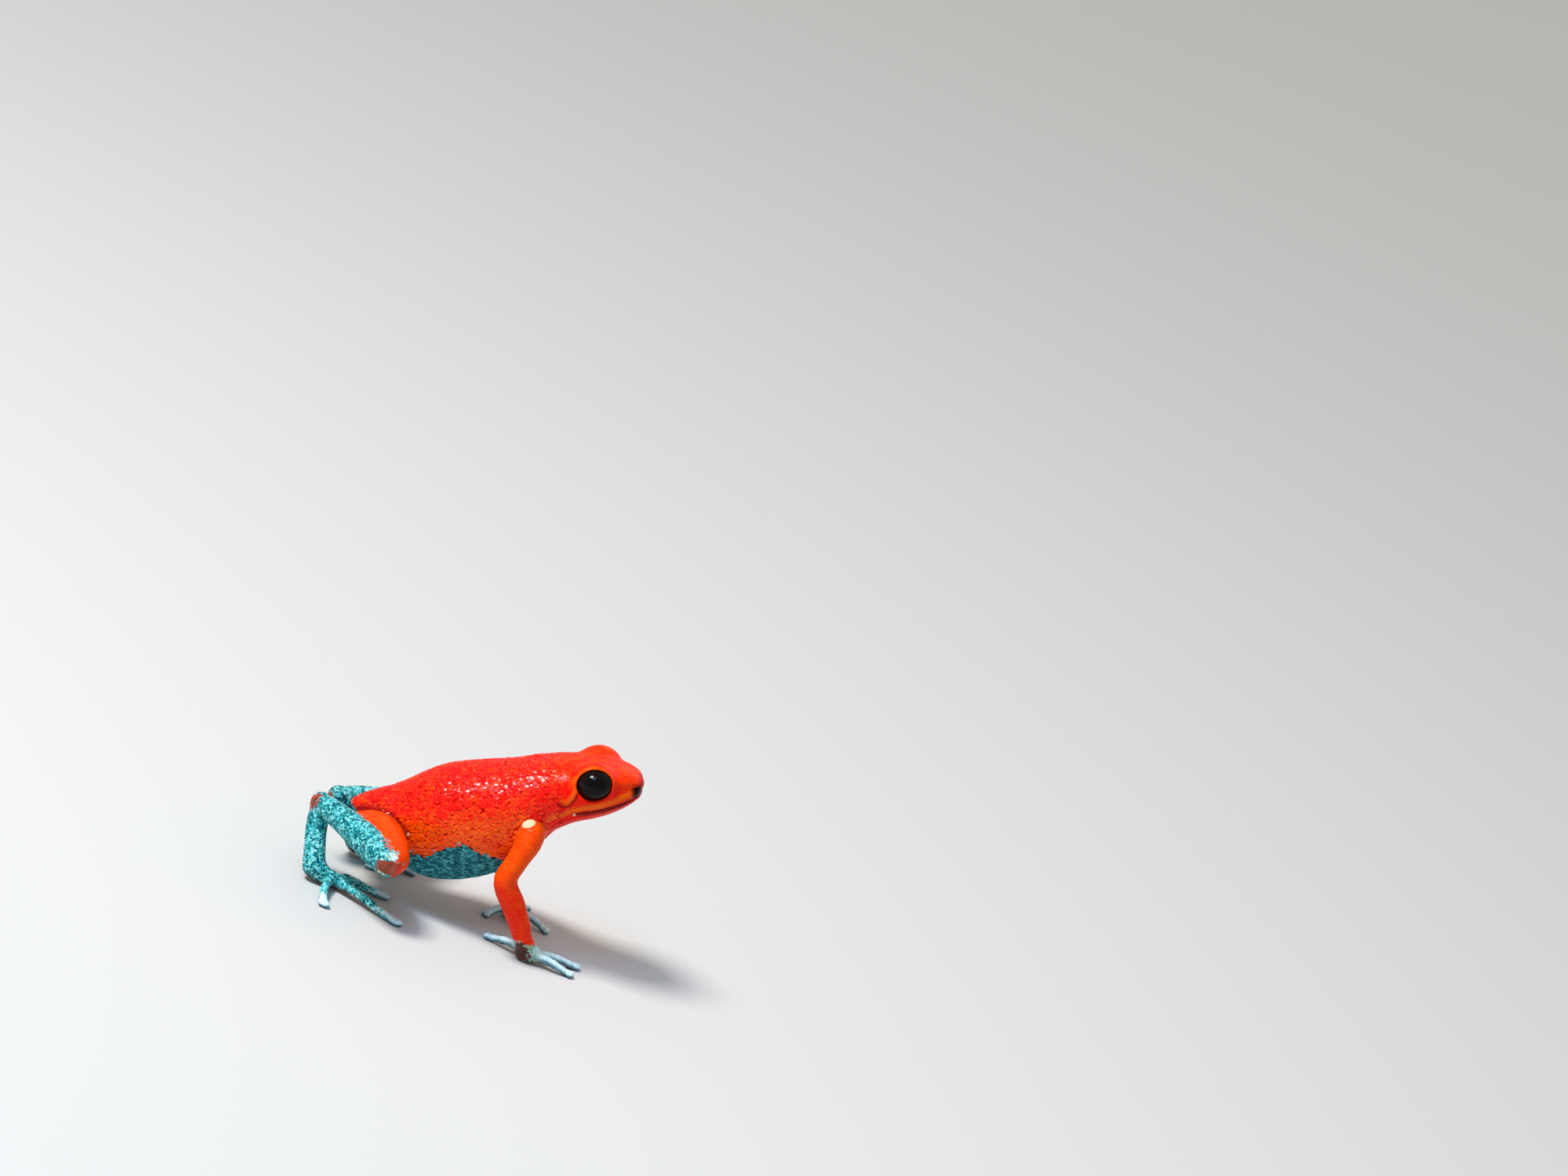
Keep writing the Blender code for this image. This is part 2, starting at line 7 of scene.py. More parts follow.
# %% Load the frame
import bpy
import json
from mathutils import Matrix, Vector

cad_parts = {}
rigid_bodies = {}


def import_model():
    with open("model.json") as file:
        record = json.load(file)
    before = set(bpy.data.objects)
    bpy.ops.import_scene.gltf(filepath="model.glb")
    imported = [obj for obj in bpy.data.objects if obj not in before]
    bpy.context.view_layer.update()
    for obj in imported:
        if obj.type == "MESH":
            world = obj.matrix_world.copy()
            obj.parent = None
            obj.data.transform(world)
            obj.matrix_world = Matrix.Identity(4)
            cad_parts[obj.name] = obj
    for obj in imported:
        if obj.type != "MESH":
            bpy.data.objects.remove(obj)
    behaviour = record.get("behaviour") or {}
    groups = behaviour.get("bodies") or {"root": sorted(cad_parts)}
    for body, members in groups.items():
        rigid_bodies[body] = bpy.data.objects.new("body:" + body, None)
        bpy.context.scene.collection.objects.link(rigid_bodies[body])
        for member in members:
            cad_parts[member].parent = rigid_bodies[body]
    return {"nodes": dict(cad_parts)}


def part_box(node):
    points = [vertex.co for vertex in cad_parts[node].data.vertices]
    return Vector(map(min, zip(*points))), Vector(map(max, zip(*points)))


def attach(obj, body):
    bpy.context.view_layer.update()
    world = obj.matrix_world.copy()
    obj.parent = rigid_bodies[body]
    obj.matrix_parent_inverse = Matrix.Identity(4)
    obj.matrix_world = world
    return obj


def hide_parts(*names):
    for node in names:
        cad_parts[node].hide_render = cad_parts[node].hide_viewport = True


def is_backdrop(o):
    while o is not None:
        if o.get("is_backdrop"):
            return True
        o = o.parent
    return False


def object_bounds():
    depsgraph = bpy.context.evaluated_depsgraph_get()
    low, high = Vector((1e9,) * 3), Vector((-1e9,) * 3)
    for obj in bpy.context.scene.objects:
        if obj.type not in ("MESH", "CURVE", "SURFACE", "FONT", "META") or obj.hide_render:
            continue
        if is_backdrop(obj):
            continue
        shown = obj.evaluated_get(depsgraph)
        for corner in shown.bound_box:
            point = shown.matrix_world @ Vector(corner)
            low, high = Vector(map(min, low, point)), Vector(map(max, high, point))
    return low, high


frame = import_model()
CAD_BOX = [list(corner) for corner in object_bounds()]

import json
import math
import time

import bmesh
import bpy
import numpy as np
from mathutils import Matrix, Vector

MM = 0.001
START = time.time()
print("solids:", sorted(frame["nodes"]), "box:", CAD_BOX)

# %% [markdown]
# ## Two frames
# The frog was designed in millimetres from a fixed vent and then centred over the origin. The right
# eye is a plain ellipsoid, so the middle of its box tells how far the design was moved. `to_world`
# turns design millimetres into metres of the scene.

# %% Design frame
VENT = np.array([-8.85, 0.0, 5.24])
PITCH = math.radians(24.9)
BODY_FORWARD = np.array([math.cos(PITCH), 0.0, math.sin(PITCH)])
BODY_UP = np.array([-math.sin(PITCH), 0.0, math.cos(PITCH)])
EYE_PLACE = (17.08, 2.36, 0.85)
EYE_HALF_SIZE = np.array([1.23, 1.20, 1.05])


def on_body(along, side, up):
    """A design point from its distance from the vent, its side and its height over the body's axis."""
    return VENT + BODY_FORWARD * along + np.array([0.0, side, 0.0]) + BODY_UP * up


eye_low, eye_high = (np.array(corner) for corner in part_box("eye_right"))
SHIFT = (eye_low + eye_high) / 2 / MM - on_body(EYE_PLACE[0], -EYE_PLACE[1], EYE_PLACE[2])


def to_world(points):
    return (np.asarray(points, float) + SHIFT) * MM


def add_object(name, data, place=None):
    """An object in the scene, placed by a matrix or left at the origin."""
    made = bpy.data.objects.new(name, data)
    bpy.context.scene.collection.objects.link(made)
    if place is not None:
        made.matrix_world = place
    return made


print("design moved by", SHIFT.round(3), "mm")

# %% [markdown]
# ## Camera, floor and light
# The photo looks at the frog's right side from a little above, with the frog tipped in the picture. We
# stand it on a level floor and roll the camera by 20 degrees instead. A long lens from half a metre
# away gives the flat perspective of a close-up. The camera is aimed at the frog first and then turned
# until the frog lands on its own pixel, left of and below the middle; no lens shift is needed.

# %% Camera
PHOTO_WIDTH, PHOTO_HEIGHT = 2000, 1500
FOCAL_PIXELS = 8889.0
VIEW_DISTANCE = 480.0
VIEW_RISE = math.radians(19.0)
VIEW_ROLL = math.radians(20.0)
AIM_POINT = np.array([0.7, 0.0, 6.6])
AIM_PIXEL = (624.4, 1061.0)


def add_camera():
    look = Vector((0.0, math.cos(VIEW_RISE), -math.sin(VIEW_RISE)))
    level_right = Vector((1.0, 0.0, 0.0))
    level_up = level_right.cross(look)
    right = level_right * math.cos(VIEW_ROLL) + level_up * math.sin(VIEW_ROLL)
    up = level_up * math.cos(VIEW_ROLL) - level_right * math.sin(VIEW_ROLL)
    facing = Matrix((right, up, -look)).transposed()
    ray = Vector(((AIM_PIXEL[0] - PHOTO_WIDTH / 2) / FOCAL_PIXELS,
                  (PHOTO_HEIGHT / 2 - AIM_PIXEL[1]) / FOCAL_PIXELS, -1.0))
    turn = Vector((0.0, 0.0, -1.0)).rotation_difference(ray).to_matrix()
    data = bpy.data.cameras.new("camera")
    data.sensor_width = 36.0
    data.lens = FOCAL_PIXELS * data.sensor_width / PHOTO_WIDTH
    data.clip_start, data.clip_end = 0.01, 20.0
    place = Vector(to_world(AIM_POINT)) - look * (VIEW_DISTANCE * MM)
    camera = add_object("camera", data, Matrix.Translation(place) @ (facing @ turn.inverted()).to_4x4())
    bpy.context.scene.camera = camera
    return camera


camera = add_camera()
print("camera at", [round(v, 3) for v in camera.location], "lens", round(camera.data.lens, 1), "mm")

# %% [markdown]
# The floor is a plain pale sheet. The main light is a small soft panel above and a little behind the
# frog, where it puts glints on the upper flank and the top of the eye. A weak bluish panel beside it
# gives the patch of sky under the eye's glint, a wide one behind parts the frog from the floor, and a
# pale surround fills the shadows. The view transform is the plain one, because a filmic one cannot
# show a red as pure as this skin's.

# %% Floor and lights
FLOOR_SIZE = 6.0
FLOOR_GREY, FLOOR_ROUGHNESS = (0.56, 0.56, 0.55, 1.0), 0.9
WARM_WHITE, SKY_BLUE = (1.0, 0.97, 0.93), (0.30, 0.60, 1.0)
SURROUND, SURROUND_STRENGTH = (1.0, 0.97, 0.94, 1.0), 0.48
# name, direction, distance in metres, size in metres, power, colour
PANELS = (
    ("key_panel", (-0.50, -0.16, 0.84), 0.40, 0.115, 1.75, WARM_WHITE),
    ("sky_panel", (-0.28, -0.36, 0.88), 0.40, 0.16, 0.45, SKY_BLUE),
    ("back_panel", (0.30, 0.90, 0.60), 0.70, 0.60, 0.6, WARM_WHITE),
)


def add_floor():
    mesh = bpy.data.meshes.new("floor")
    corners = np.array([(-1, -1, 0), (1, -1, 0), (1, 1, 0), (-1, 1, 0)]) * FLOOR_SIZE / 2
    mesh.from_pydata(corners.tolist(), [], [(0, 1, 2, 3)])
    floor = add_object("floor", mesh)
    paint = bpy.data.materials.new("pale_floor")
    paint.use_nodes = True
    shader = paint.node_tree.nodes["Principled BSDF"]
    shader.inputs["Base Color"].default_value = FLOOR_GREY
    shader.inputs["Roughness"].default_value = FLOOR_ROUGHNESS
    mesh.materials.append(paint)
    floor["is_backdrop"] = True


def add_panel(name, direction, distance, size, power, colour):
    """A round soft panel that looks at the frog."""
    data = bpy.data.lights.new(name, "AREA")
    data.shape, data.size, data.energy, data.color = "DISK", size, power, colour
    aim = Vector(to_world(AIM_POINT))
    place = aim + Vector(direction).normalized() * distance
    turn = (aim - place).to_track_quat("-Z", "Y").to_matrix().to_4x4()
    add_object(name, data, Matrix.Translation(place) @ turn)


add_floor()
for panel in PANELS:
    add_panel(*panel)
world = bpy.data.worlds.new("pale_sky")
world.use_nodes = True
backdrop = world.node_tree.nodes["Background"].inputs
backdrop["Color"].default_value, backdrop["Strength"].default_value = SURROUND, SURROUND_STRENGTH
bpy.context.scene.world = world
bpy.context.scene.view_settings.view_transform = "Standard"
print("lights:", [light.name for light in bpy.data.lights])

# %% [markdown]
# ## One skin from many forms
# A real frog has a single skin, so the visual model has one too. Joining and smoothing the solids
# would lose the creases at the hip and the lids. Instead each form tells how far a point lies from it,
# and a smooth minimum melts the forms together with a radius chosen for each joint: wide at the
# shoulder, almost sharp where thigh and shank only touch.

# %% Curves through stations
def curve_table(stations, count=600):
    """A finely sampled smooth curve through stations, whose first column is the place along it."""
    table = np.array(stations, float)
    place, value = table[:, 0], table[:, 1:]
    slope = np.gradient(value, place, axis=0)
    at = np.linspace(place[0], place[-1], count)
    index = np.clip(np.searchsorted(place, at) - 1, 0, len(place) - 2)
    step = (place[index + 1] - place[index])[:, None]
    t = ((at - place[index])[:, None]) / step
    rows = (value[index] * (2 * t**3 - 3 * t**2 + 1)
            + slope[index] * step * (t**3 - 2 * t**2 + t)
            + value[index + 1] * (3 * t**2 - 2 * t**3)
            + slope[index + 1] * step * (t**3 - t**2))
    return at, rows


def look_up(table, at):
    """The columns of a curve table at many places."""
    place, rows = table
    return [np.interp(at, place, rows[:, column]) for column in range(rows.shape[1])]


def smooth_min(a, b, width):
    """The smaller of two distances, rounded where they are nearly equal."""
    share = np.clip(0.5 + 0.5 * (b - a) / width, 0.0, 1.0)
    return b + (a - b) * share - width * share * (1.0 - share)


def bell(value, middle, width):
    """1 at the middle, falling to both sides."""
    return np.exp(-(((value - middle) / width) ** 2))


def ramp(value, low, high):
    """0 below low, 1 above high and smooth between."""
    t = np.clip((value - low) / (high - low), 0.0, 1.0)
    return t * t * (3.0 - 2.0 * t)


print("a ramp from 0 to 4:", ramp(np.arange(5.0), 0, 4).round(2))

# %% [markdown]
# The clay collects forms, each with the box it matters in. `add` melts a form on or cuts it away. The
# forms are read twice: on blocks of a grid to find the surface, then at the surface's own points.

# %% Clay
FAR = 3.0
BOX_MARGIN = 0.35


class Clay:
    """A list of forms and the field that they make together."""

    def __init__(self):
        self.forms = []

    def add(self, low, high, distance, blend, cut=False):
        reach = blend + BOX_MARGIN
        box = (np.array(low) - reach, np.array(high) + reach)
        self.forms.append((box, distance, blend, cut))

    def combine(self, old, new, blend, cut):
        if cut:
            return -smooth_min(-old, new, blend)
        return smooth_min(old, new, blend)

    def on_grid(self, axes):
        """The field on a grid whose three axes are arrays of millimetres."""
        field = np.full([len(axis) for axis in axes], FAR)
        for (low, high), distance, blend, cut in self.forms:
            spans = [slice(*np.searchsorted(axis, (a, b))) for axis, a, b in zip(axes, low, high)]
            block = [axis[span] for axis, span in zip(axes, spans)]
            points = np.stack(np.meshgrid(*block, indexing="ij"), axis=-1)
            if points.size:
                spans = tuple(spans)
                field[spans] = self.combine(field[spans], distance(points), blend, cut)
        return field

    def at(self, points):
        """The field at single points."""
        field = np.full(len(points), FAR)
        for (low, high), distance, blend, cut in self.forms:
            inside = ((points >= low) & (points <= high)).all(axis=1)
            if inside.any():
                field[inside] = self.combine(field[inside], distance(points[inside]), blend, cut)
        return field


clay = Clay()
print("the field far from any form:", clay.at(np.zeros((1, 3))))

# %% [markdown]
# ## Trunk and head
# The trunk and head are one spindle with rounded-square sections. Its stations give the distance from
# the vent, half the width, and the height over and under the axis. The head's finer relief is pressed
# into the same form: the line of the mouth with its lips, the ridge from eye to nostril, the hollow
# below it, and the fold that curls round the eardrum.

# %% Body stations
BODY = curve_table((
    (0.0, 0.40, 0.20, 0.45), (0.6, 1.15, 0.42, 1.50), (1.6, 1.85, 0.68, 3.00), (3.4, 2.60, 1.08, 4.75),
    (4.8, 3.10, 1.58, 5.50), (6.6, 3.60, 2.12, 5.78), (8.7, 3.85, 2.20, 5.58), (11.0, 3.78, 2.14, 4.85),
    (12.7, 3.46, 2.26, 3.62), (14.0, 3.25, 2.26, 2.62), (15.4, 3.22, 2.20, 2.16), (16.8, 3.14, 2.04, 1.95),
    (18.0, 2.70, 1.74, 1.72), (18.9, 2.18, 1.38, 1.42), (19.6, 1.62, 0.97, 1.05), (20.0, 1.08, 0.60, 0.66),
    (20.2, 0.30, 0.16, 0.16),
), 1200)
BODY_LENGTH = 20.2
MOUTH_CORNER = (15.7, -0.98)
MOUTH_FRONT = (20.14, -0.30)
MOUTH_SAG = 0.14
NOSTRIL = (19.75, 1.28, 0.04)
EAR_FOLD = ((16.00, 1.00), (15.82, 0.56), (15.54, 0.13), (15.16, -0.15), (14.86, 0.08))
EAR_CREASE = ((15.98, 0.42), (15.82, 0.10), (15.48, -0.22), (15.10, -0.43), (14.64, -0.28))
MOUTH_DEPTH, UPPER_LIP, LOWER_LIP = 0.10, 0.045, 0.03
RIDGE_RISE, CHEEK_HOLLOW = 0.07, 0.06
EAR_FOLD_RISE, EAR_CREASE_DEPTH = 0.05, 0.08
AXIS_GUARD = 1e-4


def body_coordinates(points):
    """Distance from the vent, side and height over the body's axis of design points."""
    rel = points - VENT
    return rel @ BODY_FORWARD, rel[..., 1], rel @ BODY_UP


def mouth_height(along):
    """Height of the mouth line over the body's axis; it rises towards the snout."""
    turn = np.arcsin(np.clip((along - MOUTH_CORNER[0]) / (MOUTH_FRONT[0] - MOUTH_CORNER[0]), 0.0, 1.0))
    share = turn / (math.pi / 2)
    sag = MOUTH_SAG * np.sin(math.pi * share)
    return MOUTH_CORNER[1] + (MOUTH_FRONT[1] - MOUTH_CORNER[1]) * share - sag


def path_gap(along, up, path):
    """Distance of a side point from a line through (along, up) places."""
    gap = np.full(np.shape(along), FAR)
    for (a0, u0), (a1, u1) in zip(path, path[1:]):
        way = np.array((a1 - a0, u1 - u0))
        share = np.clip(((along - a0) * way[0] + (up - u0) * way[1]) / (way @ way), 0.0, 1.0)
        gap = np.minimum(gap, np.hypot(along - a0 - share * way[0], up - u0 - share * way[1]))
    return gap


def ear_relief(along, up):
    """How far a side point belongs to the fold round the eardrum and to the crease under it."""
    fold = 1 - ramp(path_gap(along, up, EAR_FOLD), 0.06, 0.30)
    return fold, bell(path_gap(along, up, EAR_CREASE), 0.0, 0.10)


def body_distance(points):
    along, side, up = body_coordinates(points)
    half_width, above, below = look_up(BODY, along)
    squareness = 2.2 + 0.35 * np.clip((along - 12.5) / 4.0, 0.0, 1.0)
    half_height = (above + below) / 2
    across, over = np.abs(side), up - (above - below) / 2
    level = (across / half_width) ** squareness + (np.abs(over) / half_height) ** squareness
    level = level ** (1 / squareness)
    distance = np.hypot(across, over) * (1 - 1 / np.maximum(level, AXIS_GUARD))
    gap = up - mouth_height(along)
    lips = MOUTH_DEPTH * bell(gap, 0.0, 0.075) - UPPER_LIP * bell(gap, 0.22, 0.16)
    lips = lips - LOWER_LIP * bell(gap, -0.24, 0.16)
    distance = distance + ramp(along, 15.45, 15.85) * lips
    ridge = ramp(along, 17.6, 18.2) * (1 - ramp(along, 19.5, 20.0))
    top = bell(over, 0.62 * half_height, 0.28)
    distance = distance - RIDGE_RISE * ridge * top * ramp(across, 0.5, 1.0)
    distance = distance + CHEEK_HOLLOW * ridge * bell(over, 0.12 * half_height, 0.30)
    fold, crease = ear_relief(along, up)
    distance = distance + (EAR_CREASE_DEPTH * crease - EAR_FOLD_RISE * fold) * ramp(across, 2.0, 2.6)
    return np.maximum(distance, np.maximum(along - BODY_LENGTH, -along))


clay.add((-11.0, -4.2, 1.2), (9.9, 4.2, 15.2), body_distance, blend=0.3)
print("trunk and head:", BODY_LENGTH, "mm from vent to snout")

# %% [markdown]
# ## Eyes, lids and nostrils
# Each eye sits in a dome that bulges from the head. The dome is melted on, then the eyeball's seat and
# an oval opening between the lids are cut from it. Both sides are made at once by measuring how far
# out a point lies, whichever side it is on.

# %% Eye domes
EYE_AXIS = np.array([0.16, 1.0, 0.14])
EYE_OPENING = (1.18, 1.03)
BALL_HALF_SIZE = EYE_HALF_SIZE * (1.05, 1.0, 1.06)
LID_EDGE = 0.47
LID_SLOPE = 0.80
LID_PUFF = 0.01
SEAT_PLAY = 0.01
OPENING_MEAN = 1.10
DOME_PLACE = (16.95, 1.98, 0.70)
DOME_HALF_SIZE = np.array([1.70, 1.46, 1.58])
NOSTRIL_HALF_SIZE = np.array([0.17, 0.20, 0.12])
HEAD_BOX = ((3.4, -4.3, 10.2), (9.9, 4.3, 15.6))


def ellipsoid_distance(rel, half_size):
    """Distance from an ellipsoid, close to exact near its surface."""
    scaled = rel / half_size
    length = np.sqrt((scaled**2).sum(-1))
    steep = np.sqrt(((scaled / half_size) ** 2).sum(-1))
    return length * (length - 1.0) / np.maximum(steep, 1e-6)


def from_eye(points, place):
    """Coordinates along the head, outwards and up, from a place that both sides of the head have."""
    along, side, up = body_coordinates(points)
    return np.stack([along - place[0], np.abs(side) - place[1], up - place[2]], axis=-1)


def opening_axes():
    outward = EYE_AXIS / np.linalg.norm(EYE_AXIS)
    along = np.array([1.0, 0.0, 0.0]) - outward * outward[0]
    along /= np.linalg.norm(along)
    return along, np.cross(along, outward), outward


OPEN_ALONG, OPEN_UP, OPEN_OUT = opening_axes()


def lid_ring(points):
    """How far out a point lies in the oval opening: 1 on the lids' rim."""
    rel = from_eye(points, EYE_PLACE)
    oval = np.hypot(rel @ OPEN_ALONG / EYE_OPENING[0], rel @ OPEN_UP / EYE_OPENING[1])
    return oval, rel @ OPEN_OUT


def dome_distance(points):
    distance = ellipsoid_distance(from_eye(points, DOME_PLACE), DOME_HALF_SIZE)
    oval, out = lid_ring(points)
    return distance - LID_PUFF * bell(oval, 1.16, 0.12) * ramp(out, 0.0, 0.4)


def seat_distance(points):
    return ellipsoid_distance(from_eye(points, EYE_PLACE), BALL_HALF_SIZE + SEAT_PLAY)


def opening_distance(points):
    """The oval opening, whose wall slopes outwards from the lids' edge on the eyeball."""
    oval, out = lid_ring(points)
    slope = LID_SLOPE * np.maximum(out - LID_EDGE, 0.0)
    return np.maximum((oval - 1.0 - slope) * OPENING_MEAN, -out)


def nostril_distance(points):
    return ellipsoid_distance(from_eye(points, NOSTRIL), NOSTRIL_HALF_SIZE)


clay.add(*HEAD_BOX, dome_distance, blend=0.34)
clay.add(*HEAD_BOX, seat_distance, blend=0.03, cut=True)
clay.add(*HEAD_BOX, opening_distance, blend=0.08, cut=True)
clay.add((7.5, -2.2, 12.6), (10.2, 2.2, 14.8), nostril_distance, blend=0.10, cut=True)
print("lids open", [2 * half for half in EYE_OPENING], "mm")

# %% [markdown]
# ## Limbs
# A limb is a chain of round cones along a smooth centre line, so its girth swells and narrows as the
# muscles do. The stations are the solids' own. The arm is one limb, and the leg has four: thigh, shank,
# tarsus and sole.

# %% Limb stations
LIMB_STATIONS = {
    "arm_right": ((2.9, -2.0, 9.3, 1.00), (3.45, -3.35, 8.35, 0.95), (3.2, -4.25, 6.9, 0.74),
                  (2.84, -4.6, 5.42, 0.78), (4.15, -4.35, 3.45, 0.80), (5.58, -4.0, 1.2, 0.62)),
    "arm_left": ((2.9, 2.0, 9.3, 1.00), (3.2, 3.35, 8.4, 0.95), (2.2, 4.3, 6.9, 0.74),
                 (1.4, 4.8, 5.3, 0.78), (2.5, 4.3, 3.3, 0.80), (3.6, 3.7, 1.2, 0.62)),
    "thigh_right": ((-7.5, -1.4, 4.45, 1.12), (-6.55, -2.8, 4.65, 1.52),
                    (-5.5, -5.0, 4.75, 1.42), (-4.78, -6.65, 4.72, 1.10)),
    "thigh_left": ((-7.45, 1.4, 4.45, 1.12), (-6.4, 2.7, 4.6, 1.52),
                   (-5.2, 4.75, 4.5, 1.42), (-4.3, 6.25, 4.34, 1.10)),
    "shank_right": ((-5.05, -7.1, 4.52, 1.04), (-6.55, -5.55, 4.70, 1.10),
                    (-8.75, -3.4, 4.90, 0.92), (-10.82, -1.23, 4.86, 0.72)),
    "shank_left": ((-4.5, 6.7, 4.1, 1.04), (-5.95, 5.45, 4.28, 1.10),
                   (-7.95, 3.85, 4.44, 0.96), (-9.95, 2.2, 4.52, 0.72)),
    "tarsus_right": ((-10.82, -1.23, 4.86, 0.72), (-10.5, -2.1, 3.1, 0.72), (-9.79, -3.15, 1.0, 0.74)),
    "tarsus_left": ((-9.95, 2.2, 4.52, 0.72), (-8.95, 3.2, 2.85, 0.72), (-7.75, 4.6, 1.0, 0.74)),
    "sole_right": ((-9.79, -3.15, 1.0, 0.66), (-8.9, -3.3, 0.7, 0.60), (-7.9, -3.3, 0.56, 0.50)),
    "sole_left": ((-7.75, 4.6, 1.0, 0.66), (-6.9, 4.65, 0.7, 0.60), (-5.9, 4.6, 0.56, 0.50)),
}
CONES_AND_BLEND = {"arm": (24, 0.45), "thigh": (18, 0.14), "shank": (18, 0.14),
                   "tarsus": (18, 0.16), "sole": (8, 0.30)}


class Limb:
    """A chain of round cones along a smooth line through (x, y, z, radius) stations."""

    def __init__(self, stations, cones):
        rows = np.array(stations, float)
        spans = np.linalg.norm(np.diff(rows[:, :3], axis=0), axis=1)
        place = np.concatenate([[0.0], np.cumsum(spans)])
        _, fine = curve_table(np.column_stack([place, rows]), cones + 1)
        self.points, self.radii = fine[:, :3], fine[:, 3]
        self.length = place[-1]

    def box(self):
        pad = self.radii.max()
        return self.points.min(0) - pad, self.points.max(0) + pad

    def distance(self, points):
        best = np.full(points.shape[:-1], np.inf)
        for a, b, start, end in zip(self.points, self.points[1:], self.radii, self.radii[1:]):
            t = np.clip((points - a) @ (b - a) / ((b - a) @ (b - a)), 0.0, 1.0)
            gap = np.linalg.norm(points - a - t[..., None] * (b - a), axis=-1)
            best = np.minimum(best, gap - start - t * (end - start))
        return best


LIMBS = {}
for name, stations in LIMB_STATIONS.items():
    cones, blend = CONES_AND_BLEND[name.split("_")[0]]
    limb = LIMBS[name] = Limb(stations, cones)
    clay.add(*limb.box(), limb.distance, blend)
print("limbs:", {name: round(limb.length, 1) for name, limb in LIMBS.items()}, "mm")

# %% [markdown]
# ## Fingers and toes
# A finger rises from the palm in a low arch, thins, and ends in a flat disc that grips. It is a swept
# oval whose width, thickness and height follow stations along its length, bowed a little sideways,
# with a slight swelling at each joint and a groove that parts the two pads on top of the disc. The
# hand has four fingers, the foot five toes, and the fourth toe is by far the longest.

# %% Digits
TIP_HEIGHT = 0.21
DIGIT_BOW = 0.035
KNUCKLE_RISE = 0.035
PAD_GROOVE = 0.05
DIGIT_SIZES = {"finger": {"half_width": 0.26, "disc": 0.38, "arch": 0.62},
               "toe": {"half_width": 0.28, "disc": 0.40, "arch": 0.66}}
DIGIT_ROOTS_AND_TIPS = {
    "finger_right": (((5.5, -3.4, 0.55), (2.8, -2.1)), ((5.9, -3.2, 0.6), (5.55, -1.25)),
                     ((6.6, -3.4, 0.6), (9.73, -1.85)), ((6.6, -3.9, 0.58), (9.48, -3.85))),
    "toe_right": (((-8.4, -2.9, 0.55), (-8.3, -1.2)), ((-8.0, -2.9, 0.55), (-6.45, -0.8)),
                  ((-7.9, -3.1, 0.55), (-4.25, -1.7)), ((-7.9, -3.4, 0.58), (-2.75, -6.1)),
                  ((-8.4, -3.6, 0.58), (-8.1, -7.7))),
    "finger_left": (((3.7, 3.2, 0.55), (2.3, 1.7)), ((4.2, 3.0, 0.6), (5.2, 1.25)),
                    ((4.7, 3.3, 0.6), (6.95, 2.75)), ((4.5, 3.7, 0.58), (5.0, 6.1))),
    "toe_left": (((-6.4, 4.2, 0.55), (-6.2, 2.7)), ((-6.0, 4.2, 0.55), (-4.6, 3.1)),
                 ((-5.9, 4.4, 0.55), (-3.1, 4.8)), ((-5.9, 4.7, 0.58), (-1.3, 7.6)),
                 ((-6.4, 4.9, 0.58), (-5.9, 8.3))),
}


class Digit:
    """A finger or toe from its root on the palm or sole to the disc at its tip."""

    def __init__(self, root, tip, sizes, bow):
        self.root = np.array(root)
        way = np.array([tip[0] - root[0], tip[1] - root[1], 0.0])
        self.length = np.linalg.norm(way)
        self.way = way / self.length
        self.side = np.array([self.way[1], -self.way[0], 0.0])
        self.bow = bow * self.length
        slim, disc = sizes["half_width"], sizes["disc"]
        # share along the digit, height of its middle, half its width, half its thickness
        self.table = curve_table((
            (0.00, root[2], slim * 1.25, slim * 1.2),
            (0.30, sizes["arch"], slim * 1.05, slim),
            (0.62, 0.43, slim, slim * 0.95),
            (0.80, 0.27, slim * 0.98, slim * 0.9),
            (0.90, TIP_HEIGHT, disc, slim * 0.95),
            (0.965, TIP_HEIGHT, disc * 0.86, slim * 0.8),
            (1.00, TIP_HEIGHT, disc * 0.32, slim * 0.35),
        ), 200)

    def box(self):
        tip = self.root + self.way * self.length
        low, high = np.minimum(self.root, tip), np.maximum(self.root, tip)
        return low - 0.6, high + 0.6

    def share(self, points):
        return (points - self.root) @ self.way / self.length

    def distance(self, points):
        share = self.share(points)
        height, half_width, half_height = look_up(self.table, share)
        across = (points - self.root) @ self.side - self.bow * np.sin(math.pi * np.clip(share, 0, 1))
        over = points[..., 2] - height
        level = np.hypot(across / half_width, over / half_height)
        distance = np.hypot(across, over) * (1 - 1 / np.maximum(level, AXIS_GUARD))
        distance = distance - KNUCKLE_RISE * (bell(share, 0.48, 0.05) + bell(share, 0.74, 0.04))
        groove = PAD_GROOVE * bell(across, 0.0, 0.07) * ramp(share, 0.86, 0.90) * ramp(over, 0.0, 0.1)
        beyond = np.maximum(share - 1.0, -share) * self.length
        return np.maximum(distance + groove, beyond)


DIGITS = {}
for row, places in DIGIT_ROOTS_AND_TIPS.items():
    kind, hand = row.split("_")
    bow = DIGIT_BOW if hand == "right" else -DIGIT_BOW
    middle = (len(places) + 1) / 2
    for number, (root, tip) in enumerate(places, 1):
        DIGITS[f"{row}_{number}"] = Digit(root, tip, DIGIT_SIZES[kind], (number - middle) * bow)
print("digits:", {name: round(float(digit.length), 1) for name, digit in DIGITS.items()}, "mm")

# %% [markdown]
# The palm is a low pad at the end of the forearm. Fingers and toes are melted onto it with a small
# radius, which leaves a little web between their roots.

